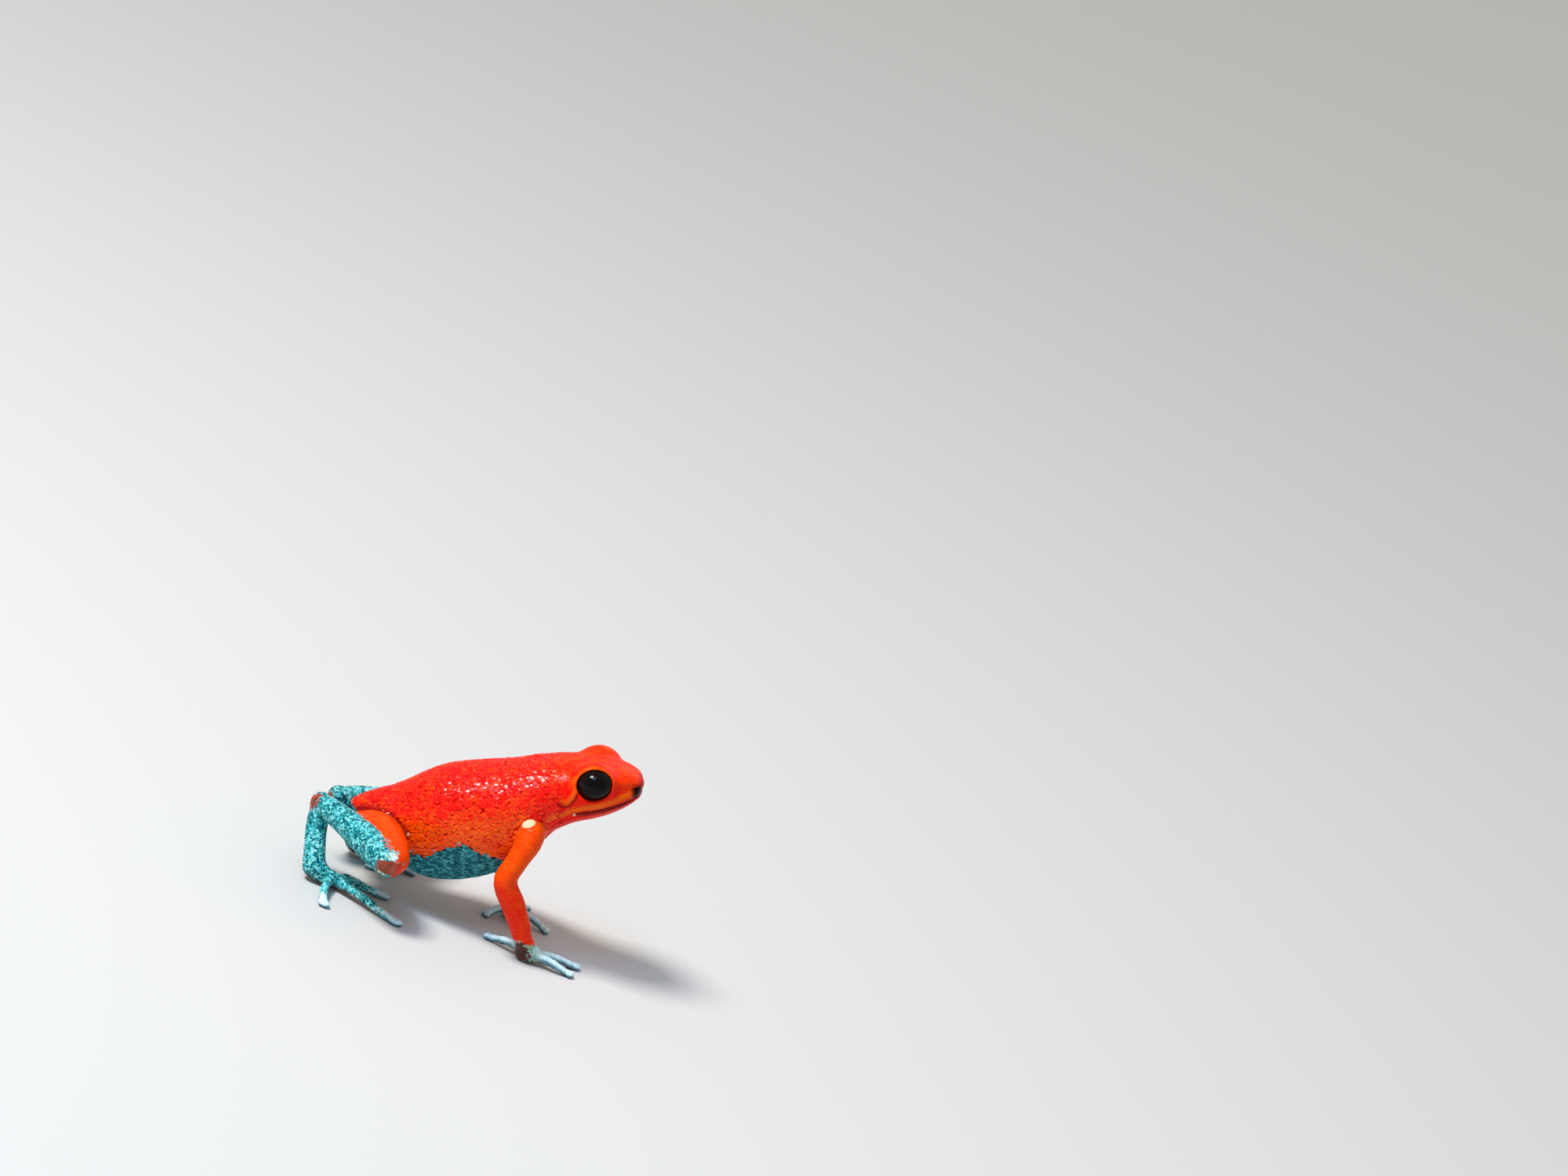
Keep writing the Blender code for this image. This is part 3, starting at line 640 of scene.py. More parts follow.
# %% Palms
PALMS = (((6.0, -3.72, 0.62), 12.0, (5.58, -4.0, 1.2)), ((4.15, 3.45, 0.62), -10.0, (3.6, 3.7, 1.2)))
PALM_HALF_SIZE = np.array([0.98, 0.78, 0.66])
WRIST_RADIUS, PALM_ROOT_RADIUS = 0.60, 0.50


def palm_distance(centre, heading):
    cos, sin = math.cos(math.radians(heading)), math.sin(math.radians(heading))
    axes = np.array([[cos, sin, 0], [-sin, cos, 0], [0, 0, 1]])

    def distance(points):
        return ellipsoid_distance((points - np.array(centre)) @ axes.T, PALM_HALF_SIZE)

    return distance


for centre, heading, wrist in PALMS:
    low, high = np.array(centre) - 1.0, np.array(centre) + 1.0
    clay.add(low, high, palm_distance(centre, heading), blend=0.30)
    link = Limb(((*wrist, WRIST_RADIUS), (*centre, PALM_ROOT_RADIUS)), 4)
    clay.add(*link.box(), link.distance, blend=0.2)
for digit in DIGITS.values():
    clay.add(*digit.box(), digit.distance, blend=0.16)
# The floor cuts off whatever would reach below it.
clay.add((-14, -10, -3), (12, 10, -0.2), lambda points: points[..., 2], blend=0.03, cut=True)
print("forms in the clay:", len(clay.forms))

# %% [markdown]
# ## From clay to mesh
# The surface is found with surface nets: every grid cell that the surface crosses gets one point, at
# the mean of the crossings on its edges, and every crossed grid edge gets one four-sided face. The
# grid is finer round the head and at the level of the toes, where the detail is small. Then two steps
# along the field's slope pull each point onto the surface.

# %% Surface nets
SQUARE = ((0, 0), (1, 0), (1, 1), (0, 1))


def graded_axis(stretches):
    """Grid lines with their own spacing on each stretch, given as (start, end, spacing)."""
    lines = [stretches[0][0]]
    for start, end, spacing in stretches:
        count = max(1, round((end - start) / spacing))
        lines += list(start + (end - start) * (np.arange(count) + 1) / count)
    return np.array(lines)


def cells_beside(edges, across, steps):
    """The cells that touch grid edges, one step back or none along the two axes across them."""
    cells = edges.copy()
    cells[:, across] -= steps
    return cells


def surface_nets(field, axes):
    """Points and four-sided faces of the zero surface of a field on a grid."""
    inside = field < 0
    shape = tuple(n - 1 for n in field.shape)
    total, hits = np.zeros(shape + (3,)), np.zeros(shape)
    crossings = []
    for axis, lines in enumerate(axes):
        first = tuple(slice(0, -1) if k == axis else slice(None) for k in range(3))
        second = tuple(slice(1, None) if k == axis else slice(None) for k in range(3))
        crossed = inside[first] != inside[second]
        edges = np.argwhere(crossed)
        a, b = field[first][crossed], field[second][crossed]
        start = lines[edges[:, axis]]
        place = np.column_stack([axes[k][edges[:, k]] for k in range(3)])
        place[:, axis] = start + (lines[edges[:, axis] + 1] - start) * a / (a - b)
        across = [k for k in range(3) if k != axis]
        for steps in ((0, 0), (0, 1), (1, 0), (1, 1)):
            cells = cells_beside(edges, across, steps)
            good = ((cells >= 0) & (cells < shape)).all(axis=1)
            where = tuple(cells[good].T)
            np.add.at(total, where, place[good])
            np.add.at(hits, where, 1.0)
        crossings.append((edges, across, a < 0))
    used = hits > 0
    number = np.full(shape, -1)
    number[used] = np.arange(used.sum())
    faces = []
    for axis, (edges, across, rising) in enumerate(crossings):
        quad = np.column_stack([number[tuple(cells_beside(edges, across, steps).T)] for steps in SQUARE])
        flip = rising if axis == 1 else ~rising
        quad[flip] = quad[flip][:, ::-1]
        faces.append(quad)
    return total[used] / hits[used][:, None], np.concatenate(faces)


# %% [markdown]
# Where two forms almost touch, a grid square can have its opposite corners alike, and the surface would
# pinch two sheets together there. So the weakest corner of such a square is flipped first.

# %% Untangle the grid
AXES = (
    graded_axis(((-12.2, 4.4, 0.130), (4.4, 10.3, 0.090))),
    graded_axis(((-8.7, -4.4, 0.120), (-4.4, -1.0, 0.098), (-1.0, 1.0, 0.130),
                 (1.0, 4.4, 0.098), (4.4, 9.1, 0.120))),
    graded_axis(((-0.3, 1.3, 0.088), (1.3, 10.3, 0.130), (10.3, 15.5, 0.090))),
)
FLIP_DEPTH = 0.002


def untangle(field, rounds=6):
    """Flip the weakest corner of every grid square whose opposite corners are alike."""
    for _ in range(rounds):
        changed = 0
        for first, second in ((0, 1), (0, 2), (1, 2)):
            corners = []
            for i, j in SQUARE:
                part = [slice(None)] * 3
                part[first] = slice(i, field.shape[first] - 1 + i)
                part[second] = slice(j, field.shape[second] - 1 + j)
                corners.append(field[tuple(part)])
            inside = [corner < 0 for corner in corners]
            crossed = (inside[0] == inside[2]) & (inside[1] == inside[3]) & (inside[0] != inside[1])
            for place in np.argwhere(crossed):
                values = [corner[tuple(place)] for corner in corners]
                weakest = int(np.argmin(np.abs(values)))
                corners[weakest][tuple(place)] = -FLIP_DEPTH * np.sign(values[weakest])
                changed += 1
        if not changed:
            break
    return field


field = untangle(clay.on_grid(AXES))
skin_points, skin_faces = surface_nets(field, AXES)
print("grid", field.shape, "->", len(skin_points), "points,", 2 * len(skin_faces), "triangles",
      f"({time.time() - START:.1f} s)")

# %% Draw the points onto the surface
PROBE = 0.01
STEP_LIMIT = 0.04
LEAST_STEEPNESS = 0.2


def slope_at(points):
    """The field and its slope at single points."""
    value = clay.at(points)
    slope = [(clay.at(points + PROBE * unit) - value) / PROBE for unit in np.eye(3)]
    return value, np.stack(slope, axis=-1)


for _ in range(2):
    value, slope = slope_at(skin_points)
    step = value / np.maximum((slope**2).sum(-1), LEAST_STEEPNESS)
    skin_points -= np.clip(step[:, None] * slope, -STEP_LIMIT, STEP_LIMIT)
skin_points[:, 2] = np.maximum(skin_points[:, 2], 0.0)
print("largest distance left:", round(float(np.abs(clay.at(skin_points)).max()), 4), "mm")

# %% [markdown]
# ## Which colour goes where
# The skin's markings follow the animal's parts. Most are stored on the skin's points as a distance in
# millimetres to their border, positive inside. The finish can then add noise to them and cut them
# sharply, which gives the ragged borders of the real skin. First each point is given to the part of the
# frog that it lies nearest to.

# %% Who owns each point
_, skin_slope = slope_at(skin_points)
skin_normals = skin_slope / np.maximum(np.linalg.norm(skin_slope, axis=1), 1e-6)[:, None]
along, side, up = body_coordinates(skin_points)
height = skin_points[:, 2]


def nearest_limb(*kinds):
    """Distance from the nearest limb of these kinds."""
    chosen = [limb for name, limb in LIMBS.items() if name.startswith(kinds)]
    return np.min([limb.distance(skin_points) for limb in chosen], axis=0)


def nearest_digit(kind):
    """Distance from the nearest finger or toe, the share along it and the millimetres to its tip."""
    chosen = [digit for name, digit in DIGITS.items() if name.startswith(kind)]
    gaps = np.stack([digit.distance(skin_points) for digit in chosen])
    shares = np.stack([digit.share(skin_points) for digit in chosen])
    tips = np.stack([(1 - share) * digit.length for share, digit in zip(shares, chosen)])
    nearest = gaps.argmin(axis=0)[None]
    return [np.take_along_axis(rows, nearest, 0)[0] for rows in (gaps, shares, tips)]


trunk_gap = np.minimum(body_distance(skin_points), dome_distance(skin_points))
thigh_gap, arm_gap = nearest_limb("thigh"), nearest_limb("arm")
finger_gap, finger_share, finger_tip = nearest_digit("finger")
toe_gap, toe_share, toe_tip = nearest_digit("toe")
palm_gap = np.min([palm_distance(centre, heading)(skin_points) for centre, heading, _ in PALMS], axis=0)
hand_gap = np.minimum(finger_gap, palm_gap)
lower_leg_gap = np.minimum(nearest_limb("shank", "tarsus", "sole"), toe_gap)
owner = np.argmin([trunk_gap, thigh_gap, arm_gap, hand_gap, lower_leg_gap], axis=0)
TRUNK, THIGH, ARM, HAND, LEG = range(5)
print("points of trunk, thighs, arms, hands and legs:", np.bincount(owner))

# %% [markdown]
# Turquoise covers the belly, the hands and all below the knee. The belly's border dips at the groin,
# rises in the middle of the flank and falls towards the armpit. The back of the thigh, which the folded
# shank hides, is turquoise too.

# %% Turquoise
BELLY_BORDER = np.array((
    (0.0, 0.00), (0.5, -0.35), (1.5, -1.10), (3.0, -2.40), (4.29, -3.07), (4.9, -3.22), (5.4, -3.15),
    (5.84, -2.89), (6.66, -2.59), (7.67, -2.44), (8.1, -2.51), (8.61, -2.78), (8.99, -3.18), (9.4, -3.36),
    (9.94, -3.62), (10.6, -4.00), (11.3, -4.50), (12.2, -5.20),
))
WRIST_HEIGHT = 1.42
KNEE_FRONT = (-4.52, -3.95)
THIGH_DOWN = np.array([0.0, 0.0, -0.5])


def behind_thigh(name):
    """How far a point lies on the hind and lower side of a thigh's centre line."""
    hip, knee = LIMBS[name].points[[0, -1]]
    axis = (knee - hip) / np.linalg.norm(knee - hip)
    back = np.cross(axis, (0.0, 0.0, 1.0))
    back *= -np.sign(back[0])
    return (skin_points - hip) @ (0.85 * back + THIGH_DOWN)


belly = np.interp(along, *BELLY_BORDER.T) - up
thigh_back = np.where(side < 0, behind_thigh("thigh_right"), behind_thigh("thigh_left")) - 0.35
upper_gap = np.min([trunk_gap, thigh_gap, arm_gap], axis=0)
knee_front = skin_points[:, 0] - np.where(side < 0, *KNEE_FRONT)
knee_front = np.where((np.abs(side) > 6.0) & (height > 2.5), knee_front, -1.0)
teal = np.clip(np.choose(owner, [
    belly,
    np.maximum(thigh_back, thigh_gap - lower_leg_gap),
    WRIST_HEIGHT - height,
    np.ones(len(skin_points)),
    np.minimum(np.maximum(upper_gap - lower_leg_gap, 0.02), -knee_front),
]), -1.0, 1.0)
print("turquoise share of points:", round(float((teal > 0).mean()), 2))

# %% [markdown]
# Brown marks the bare knee, heel and ball of the palm, and the faces of hands and feet near the floor
# that turn down. Cream marks the small glands: an oval one at the shoulder and tiny ones at the mouth's
# corner and the knee, while the cream dot at the groin is a painted highlight. Pale runs from 0 on the
# legs to 1 at the tips of fingers and toes; a pale spot on the right knee is a painted highlight.

# %% Brown, cream and pale
# middle, radius and how far it is squeezed in height
BROWN_SPOTS = (
    ((-4.97, -8.05, 4.45), 0.80, 1.45), ((-4.40, 7.70, 4.05), 0.75, 1.45),
    ((-11.25, -1.65, 4.95), 0.55, 0.80), ((-10.65, 1.75, 4.30), 0.45, 0.80),
    ((5.40, -4.75, 0.58), 0.85, 1.0), ((3.50, 4.45, 0.58), 0.85, 1.0),
)
SHOULDER_SPOT = (3.03, 3.67, 9.36)
SHOULDER_SPOT_WAY = np.array((0.76, -0.20, 0.55))
SHOULDER_SPOT_HALF = (0.47, 0.28)
# The second dot, at the groin, is a painted highlight; the others are glands.
CREAM_DOTS = (
    ((5.73, 2.96, 10.87), 0.12), ((-4.47, 2.84, 5.39), 0.13),
    ((-5.45, 7.92, 3.90), 0.17), ((-5.10, 7.85, 3.92), 0.14),
)
# A painted highlight: the pale glossy spot on the right knee.
KNEE_GLINT = (-4.83, -7.80, 5.26)


def mirrored(points):
    """The points with both sides of the frog laid onto one."""
    return points * [1, 0, 1] + np.abs(points) * [0, 1, 0]


def spot_share(points):
    """How far out a point lies in the oval shoulder spot: 1 on its rim."""
    rel = mirrored(points) - SHOULDER_SPOT
    way = SHOULDER_SPOT_WAY / np.linalg.norm(SHOULDER_SPOT_WAY)
    lengthwise = rel @ way
    crosswise = np.linalg.norm(rel - lengthwise[..., None] * way, axis=-1)
    return np.hypot(lengthwise / SHOULDER_SPOT_HALF[0], crosswise / SHOULDER_SPOT_HALF[1])


brown = np.max([radius - np.linalg.norm((skin_points - middle) * (1, 1, squeeze), axis=1)
                for middle, radius, squeeze in BROWN_SPOTS], axis=0)
# Brown also on the faces of hands and feet near the floor that turn down.
near_floor = np.isin(owner, (HAND, LEG)) & (height < 1.2)
brown = np.maximum(brown, np.where(near_floor, -0.6 * skin_normals[:, 2] - 0.40, -1.0))
brown = np.clip(brown, -1.0, 1.0)
dots = [radius - np.linalg.norm(mirrored(skin_points) - middle, axis=1) for middle, radius in CREAM_DOTS]
cream = np.max([SHOULDER_SPOT_HALF[1] * (1 - spot_share(skin_points)), *dots], axis=0)
cream = np.clip(cream, -1.0, 1.0)
hand_pale = 0.87 + 0.13 * ramp(finger_share, 0.02, 0.25) * (finger_gap < 0.08)
toe_pale = np.where(toe_gap < 0.05, 0.15 + 0.85 * ramp(toe_share, 0.45, 0.92), 0.0)
pale = np.select([owner == HAND, owner == ARM, owner == LEG], [hand_pale, 0.7, toe_pale], 0.0)
# Painted highlight on the right knee, drawn in the pale of the toes.
to_knee_glint = np.linalg.norm(skin_points - KNEE_GLINT, axis=1)
pale = np.maximum(pale, 1.2 * (1 - ramp(to_knee_glint, 0.22, 0.5)))
print("bare and worn:", round(float((brown > 0).mean()), 3), "glands:", round(float((cream > 0).mean()), 3))

# %% [markdown]
# Real skin is never as even as a form made from curves. The glands and the bare knees stand up a
# little, and waves of chance direction make the trunk and limbs softly uneven, which breaks up the
# shine. The flats under palms and toes stay as they are.

# %% Soft relief
WAVE_COUNT = 24
UNEVENNESS, GLAND_RISE, KNEE_RISE = 0.020, 0.045, 0.030
waves = np.random.default_rng(7).normal(size=(WAVE_COUNT, 3))
waves *= np.linspace(1.6, 5.0, WAVE_COUNT)[:, None] / np.linalg.norm(waves, axis=1)[:, None]
uneven = np.sin(skin_points @ waves.T + np.arange(WAVE_COUNT)).sum(axis=1) / math.sqrt(WAVE_COUNT)
lift = UNEVENNESS * uneven * (1 - ramp(along, 13.0, 15.0) * 0.7)
lift += GLAND_RISE * ramp(cream, -0.05, 0.10) + KNEE_RISE * ramp(brown, -0.1, 0.2) * (height > 2.0)
lift *= ramp(height, 0.25, 1.2)
skin_points += skin_normals * lift[:, None]
print("relief:", round(float(lift.min()), 3), "to", round(float(lift.max()), 3), "mm")

# %% [markdown]
# Orange is a gentle tint: on the flanks, along the upper lip, round the eyelids, on the fold over the
# eardrum and on the arms and thighs; round the lids, strongest on top, and on the upper arms it is also
# painted highlight. Painted shade darkens the mouth's line, the jaw under it, the crease under the
# eardrum, the nostrils, the tip of the snout, the crease of the hip and the seat behind the lids.

# %% Orange and painted shade
LIP_LINE = np.array(((13.6, -1.35), (14.3, -1.07), (15.5, -0.67), (16.3, -0.60),
                     (17.1, -0.58), (18.2, -0.45), (19.2, -0.22)))
# Orange on the arms by height: a faint tint low down, rising to a painted highlight on the upper arm.
ARM_ORANGE_AND_HIGHLIGHT = ((1.5, 4.5, 6.2), (0.12, 0.16, 0.42))
THIGH_ORANGE = 0.35

oval, lid_out = lid_ring(skin_points)
mouth_gap = up - mouth_height(along)
fold, fold_crease = ear_relief(along, up)
on_side = ramp(np.abs(side), 1.2, 2.0)
trunk = owner == TRUNK
flank = 0.50 * ramp(-up, -0.5, 1.5) * (1 - ramp(along, 11.8, 13.4))
crown = 0.12 * ramp(up, 0.9, 1.8) * ramp(along, 13.4, 15.0)
lip = 0.85 * bell(up, np.interp(along, *LIP_LINE.T), 0.19) * ramp(along, 13.2, 14.2) * on_side
# Orange round the lids, strongest on top: partly tint, partly the lids' painted highlight.
lid_height = from_eye(skin_points, EYE_PLACE) @ OPEN_UP
upper_lid = (1 - ramp(oval, 1.36, 1.60)) * ramp(lid_height, -0.6, 0.5)
lower_lid = (1 - ramp(oval, 1.06, 1.16)) * 0.3
lid_orange_and_highlight = 0.50 * np.maximum(upper_lid, lower_lid) * ramp(lid_out, 0.1, 0.5)
snout = 0.20 * ramp(along, 18.2, 19.0) * ramp(up, 0.1, 0.5)
orange = np.max([flank + crown, lip, lid_orange_and_highlight, 0.62 * fold * on_side, snout], axis=0)
orange = np.where(trunk, orange, np.where(owner == THIGH, THIGH_ORANGE, np.interp(height, *ARM_ORANGE_AND_HIGHLIGHT)))
# Painted shade along the mouth's line, on the jaw under it, on the lower tip of the snout and in the
# nostrils.
mouth_line = bell(mouth_gap, 0.0, 0.085) * ramp(along, 15.5, 15.8)
snout_tip_shade = ramp(along, 19.42, 19.68) * (1 - ramp(up, 0.10, 0.32)) * ramp(mouth_gap, -0.15, 0.0)
snout_tip_shade *= 0.3 + 0.7 * ramp(np.abs(side), 0.6, 1.05)
jaw_shade = 0.75 * bell(mouth_gap, -0.10, 0.17) * ramp(along, 15.2, 16.4) * (0.2 + 0.8 * on_side)
nostril = 1 - ramp(nostril_distance(skin_points), -0.02, 0.08)
# Painted shade in the crease of the hip; it and the crease under the eardrum also lose their orange.
hip_crease = bell(trunk_gap - thigh_gap, 0.03, 0.34) * (np.minimum(trunk_gap, thigh_gap) < 0.4)
orange = orange * (1 - np.maximum(hip_crease, fold_crease * on_side * trunk))
# Painted shade in the seat behind the lids.
lid_seat_shade = (1 - ramp(oval, 0.985, 1.01)) * (lid_out > 0)
on_head = [mouth_line, snout_tip_shade, jaw_shade, nostril, 0.6 * fold_crease * on_side, lid_seat_shade]
painted_shade = np.maximum(np.max(on_head, axis=0) * trunk, 0.75 * hip_crease)
tip = np.where(finger_gap < 0.06, finger_tip, np.where(toe_gap < 0.06, toe_tip, 3.0))
print("mean orange and dark:", round(float(orange.mean()), 2), round(float(painted_shade.mean()), 2))

# %% [markdown]
# The last layers say where granules may grow: coarse on the trunk, flat and finer on the head, fine on
# the limbs, and none on lips, lids, glands, palms, fingers and toes.

# %% Where granules grow
bare = np.max([ramp(brown, -0.2, 0.0), ramp(cream, -0.22, -0.02), ramp(nostril, 0.0, 0.3), mouth_line,
               ramp(hip_crease, 0.7, 0.95)], axis=0)
lips = bell(mouth_gap, 0.08, 0.28) * ramp(along, 15.0, 15.6)
lids = (1 - ramp(oval, 1.22, 1.5) * ramp(np.abs(side), 0.0, 0.1)) * ramp(lid_out, -0.3, 0.1)
head_cover = np.clip(1 - np.max([bare, lips, lids, 0.8 * fold, fold_crease], axis=0), 0, 1)
body_cover = trunk * (1 - np.max([bare, lips, lids, fold_crease], axis=0)) * (1 - ramp(along, 14.2, 15.3))
limb_cover = np.isin(owner, (ARM, THIGH, LEG)) & (toe_gap > 0.12)
limb_cover = limb_cover * (1 - bare) * ramp(height, 0.5, 1.1)
MARKS = {
    "teal": teal, "brown": brown, "cream": cream, "pale": pale, "orange": orange, "painted_shade": painted_shade, "tip": tip,
    # How far a face turns up, for the painted light and shade of fingers and toes.
    "top": ramp(skin_normals[:, 2], -0.3, 0.75),
    "grain_back": body_cover * (teal < 0),
    "grain_belly": body_cover * (teal >= 0),
    "grain_head": trunk * ramp(along, 13.8, 14.6) * head_cover,
    "grain_arm": limb_cover * np.isin(owner, (ARM, THIGH)),
    "grain_leg": limb_cover * (owner == LEG),
}
print("marks:", {name: (round(float(v.min()), 2), round(float(v.max()), 2)) for name, v in MARKS.items()})

# %% [markdown]
# ## Finishes
# Materials are node trees. Long lists of nodes would hide what they do, so a small class wraps a
# socket: sums and products of wires add Math nodes by themselves, and one method adds any other node.

# %% Wires
PER_METRE = 1000.0


class Wire:
    """A node's output that can be used in Python expressions."""

    def __init__(self, tree, socket=None):
        self.tree, self.socket = tree, socket

    def node(self, kind, settings, values, out=0):
        """Add a node: settings first, then values or wires into its sockets; gives one of its outputs."""
        made = self.tree.nodes.new(kind)
        for name, value in settings.items():
            setattr(made, name, value)
        for key, value in values.items():
            if isinstance(value, Wire):
                self.tree.links.new(value.socket, made.inputs[key])
            else:
                made.inputs[key].default_value = value
        return Wire(self.tree, made.outputs[out])

    def math(self, operation, *values, clamp=False):
        settings = {"operation": operation, "use_clamp": clamp}
        return self.node("ShaderNodeMath", settings, dict(enumerate(values)))

    def __add__(self, other):
        return self.math("ADD", self, other)

    def __sub__(self, other):
        return self.math("SUBTRACT", self, other)

    def __rsub__(self, other):
        return self.math("SUBTRACT", other, self)

    def __mul__(self, other):
        return self.math("MULTIPLY", self, other)

    __radd__, __rmul__ = __add__, __mul__

    def cut(self, width):
        """0 where the value is below zero, 1 above, with a soft edge of this width."""
        return self.math("MULTIPLY_ADD", self, 1.0 / width, 0.5, clamp=True)

    def clamped(self):
        return self.math("ADD", self, 0.0, clamp=True)

    def mix(self, low, high):
        """The colour low where this wire is 0 and high where it is 1."""
        return self.node("ShaderNodeMix", {"data_type": "RGBA"}, {"Factor": self, 6: low, 7: high}, out=2)

    def mark(self, label):
        """A mark that is stored on the piece's points."""
        return self.node("ShaderNodeAttribute", {"attribute_name": label}, {}, out="Fac")

    def noise(self, place, per_mm, detail=2.0, out="Fac"):
        values = {"Vector": place, "Scale": per_mm * PER_METRE, "Detail": detail}
        return self.node("ShaderNodeTexNoise", {}, values, out=out)

    def bump(self, strength, depth, height):
        values = {"Strength": strength, "Distance": depth, "Height": height}
        return self.node("ShaderNodeBump", {}, values, out="Normal")

    def into(self, shader, label):
        """Link this wire into one of the shader's sockets."""
        self.tree.links.new(self.socket, shader.inputs[label])


def new_finish(name, **constants):
    """A material with its Principled shader's constants set, the shader and a wire to start from."""
    paint = bpy.data.materials.new(name)
    paint.use_nodes = True
    shader = paint.node_tree.nodes["Principled BSDF"]
    for label, value in constants.items():
        shader.inputs[label.replace("_", " ")].default_value = value
    return paint, shader, Wire(paint.node_tree)


# %% [markdown]
# The living skin is moist: a satin base under a thin wet coat. Its colours are mixed from the stored
# marks. `relief` is 0 in the crevices between granules and 1 on their tops; the crevices and the foot of
# each granule take darker colours there, which is painted shade. So the same recipe serves the skin,
# which shows in the crevices, and the granules, which stand on it. Each granule also has a `tone` of its
# own, which makes some lighter and some darker, as in a mosaic.

# %% Skin colours
# The crevice colours are painted shade; the deep teal is both the legs' dark veins and painted shade in
# their crevices.
RED, ORANGE, CREVICE_SHADE_RED = (0.90, 0.003, 0.000, 1), (0.94, 0.165, 0.001, 1), (0.44, 0.001, 0.000, 1)
TEAL, DEEP_TEAL_AND_SHADE, LIGHT_TEAL = (0.012, 0.340, 0.410, 1), (0.001, 0.070, 0.095, 1), (0.09, 0.68, 0.74, 1)
GREEN, WHITE, CREVICE_SHADE_TEAL = (0.050, 0.300, 0.200, 1), (0.40, 0.92, 0.94, 1), (0.000, 0.012, 0.020, 1)
DARK_BROWN, BROWN, TAN = (0.030, 0.014, 0.010, 1), (0.180, 0.030, 0.014, 1), (0.54, 0.105, 0.050, 1)
CREAM, PALE, SHADE_SLATE = (0.84, 0.66, 0.42, 1), (0.62, 0.88, 0.97, 1), (0.08, 0.25, 0.33, 1)
PAINTED_SHADE_BLACK, INK, SAGE = (0.020, 0.003, 0.002, 1), (0.060, 0.130, 0.170, 1), (0.30, 0.42, 0.30, 1)
BELLY_TEAL, BELLY_LIGHT = (0.008, 0.150, 0.185, 1), (0.12, 0.62, 0.70, 1)

# %% [markdown]
# The red skin turns orange with the orange mark and with chance. The legs are a mosaic of angular chips
# on turquoise, whose light chips are partly pale pigment and partly painted glints, the belly a mottled
# turquoise, and pale blue spreads over fingers and toes, lighter on faces that turn up and in painted
# shade on their sides. The brown, the cream glands and the painted shade of creases and hollows come
# last, on top.

# %% Skin finish
JOINT_LINES = (0.34, 0.70)
JOINT_LINE_WIDTH = 0.030
CHIP_BEND = 0.00016
PORE_DEPTH = 0.00005


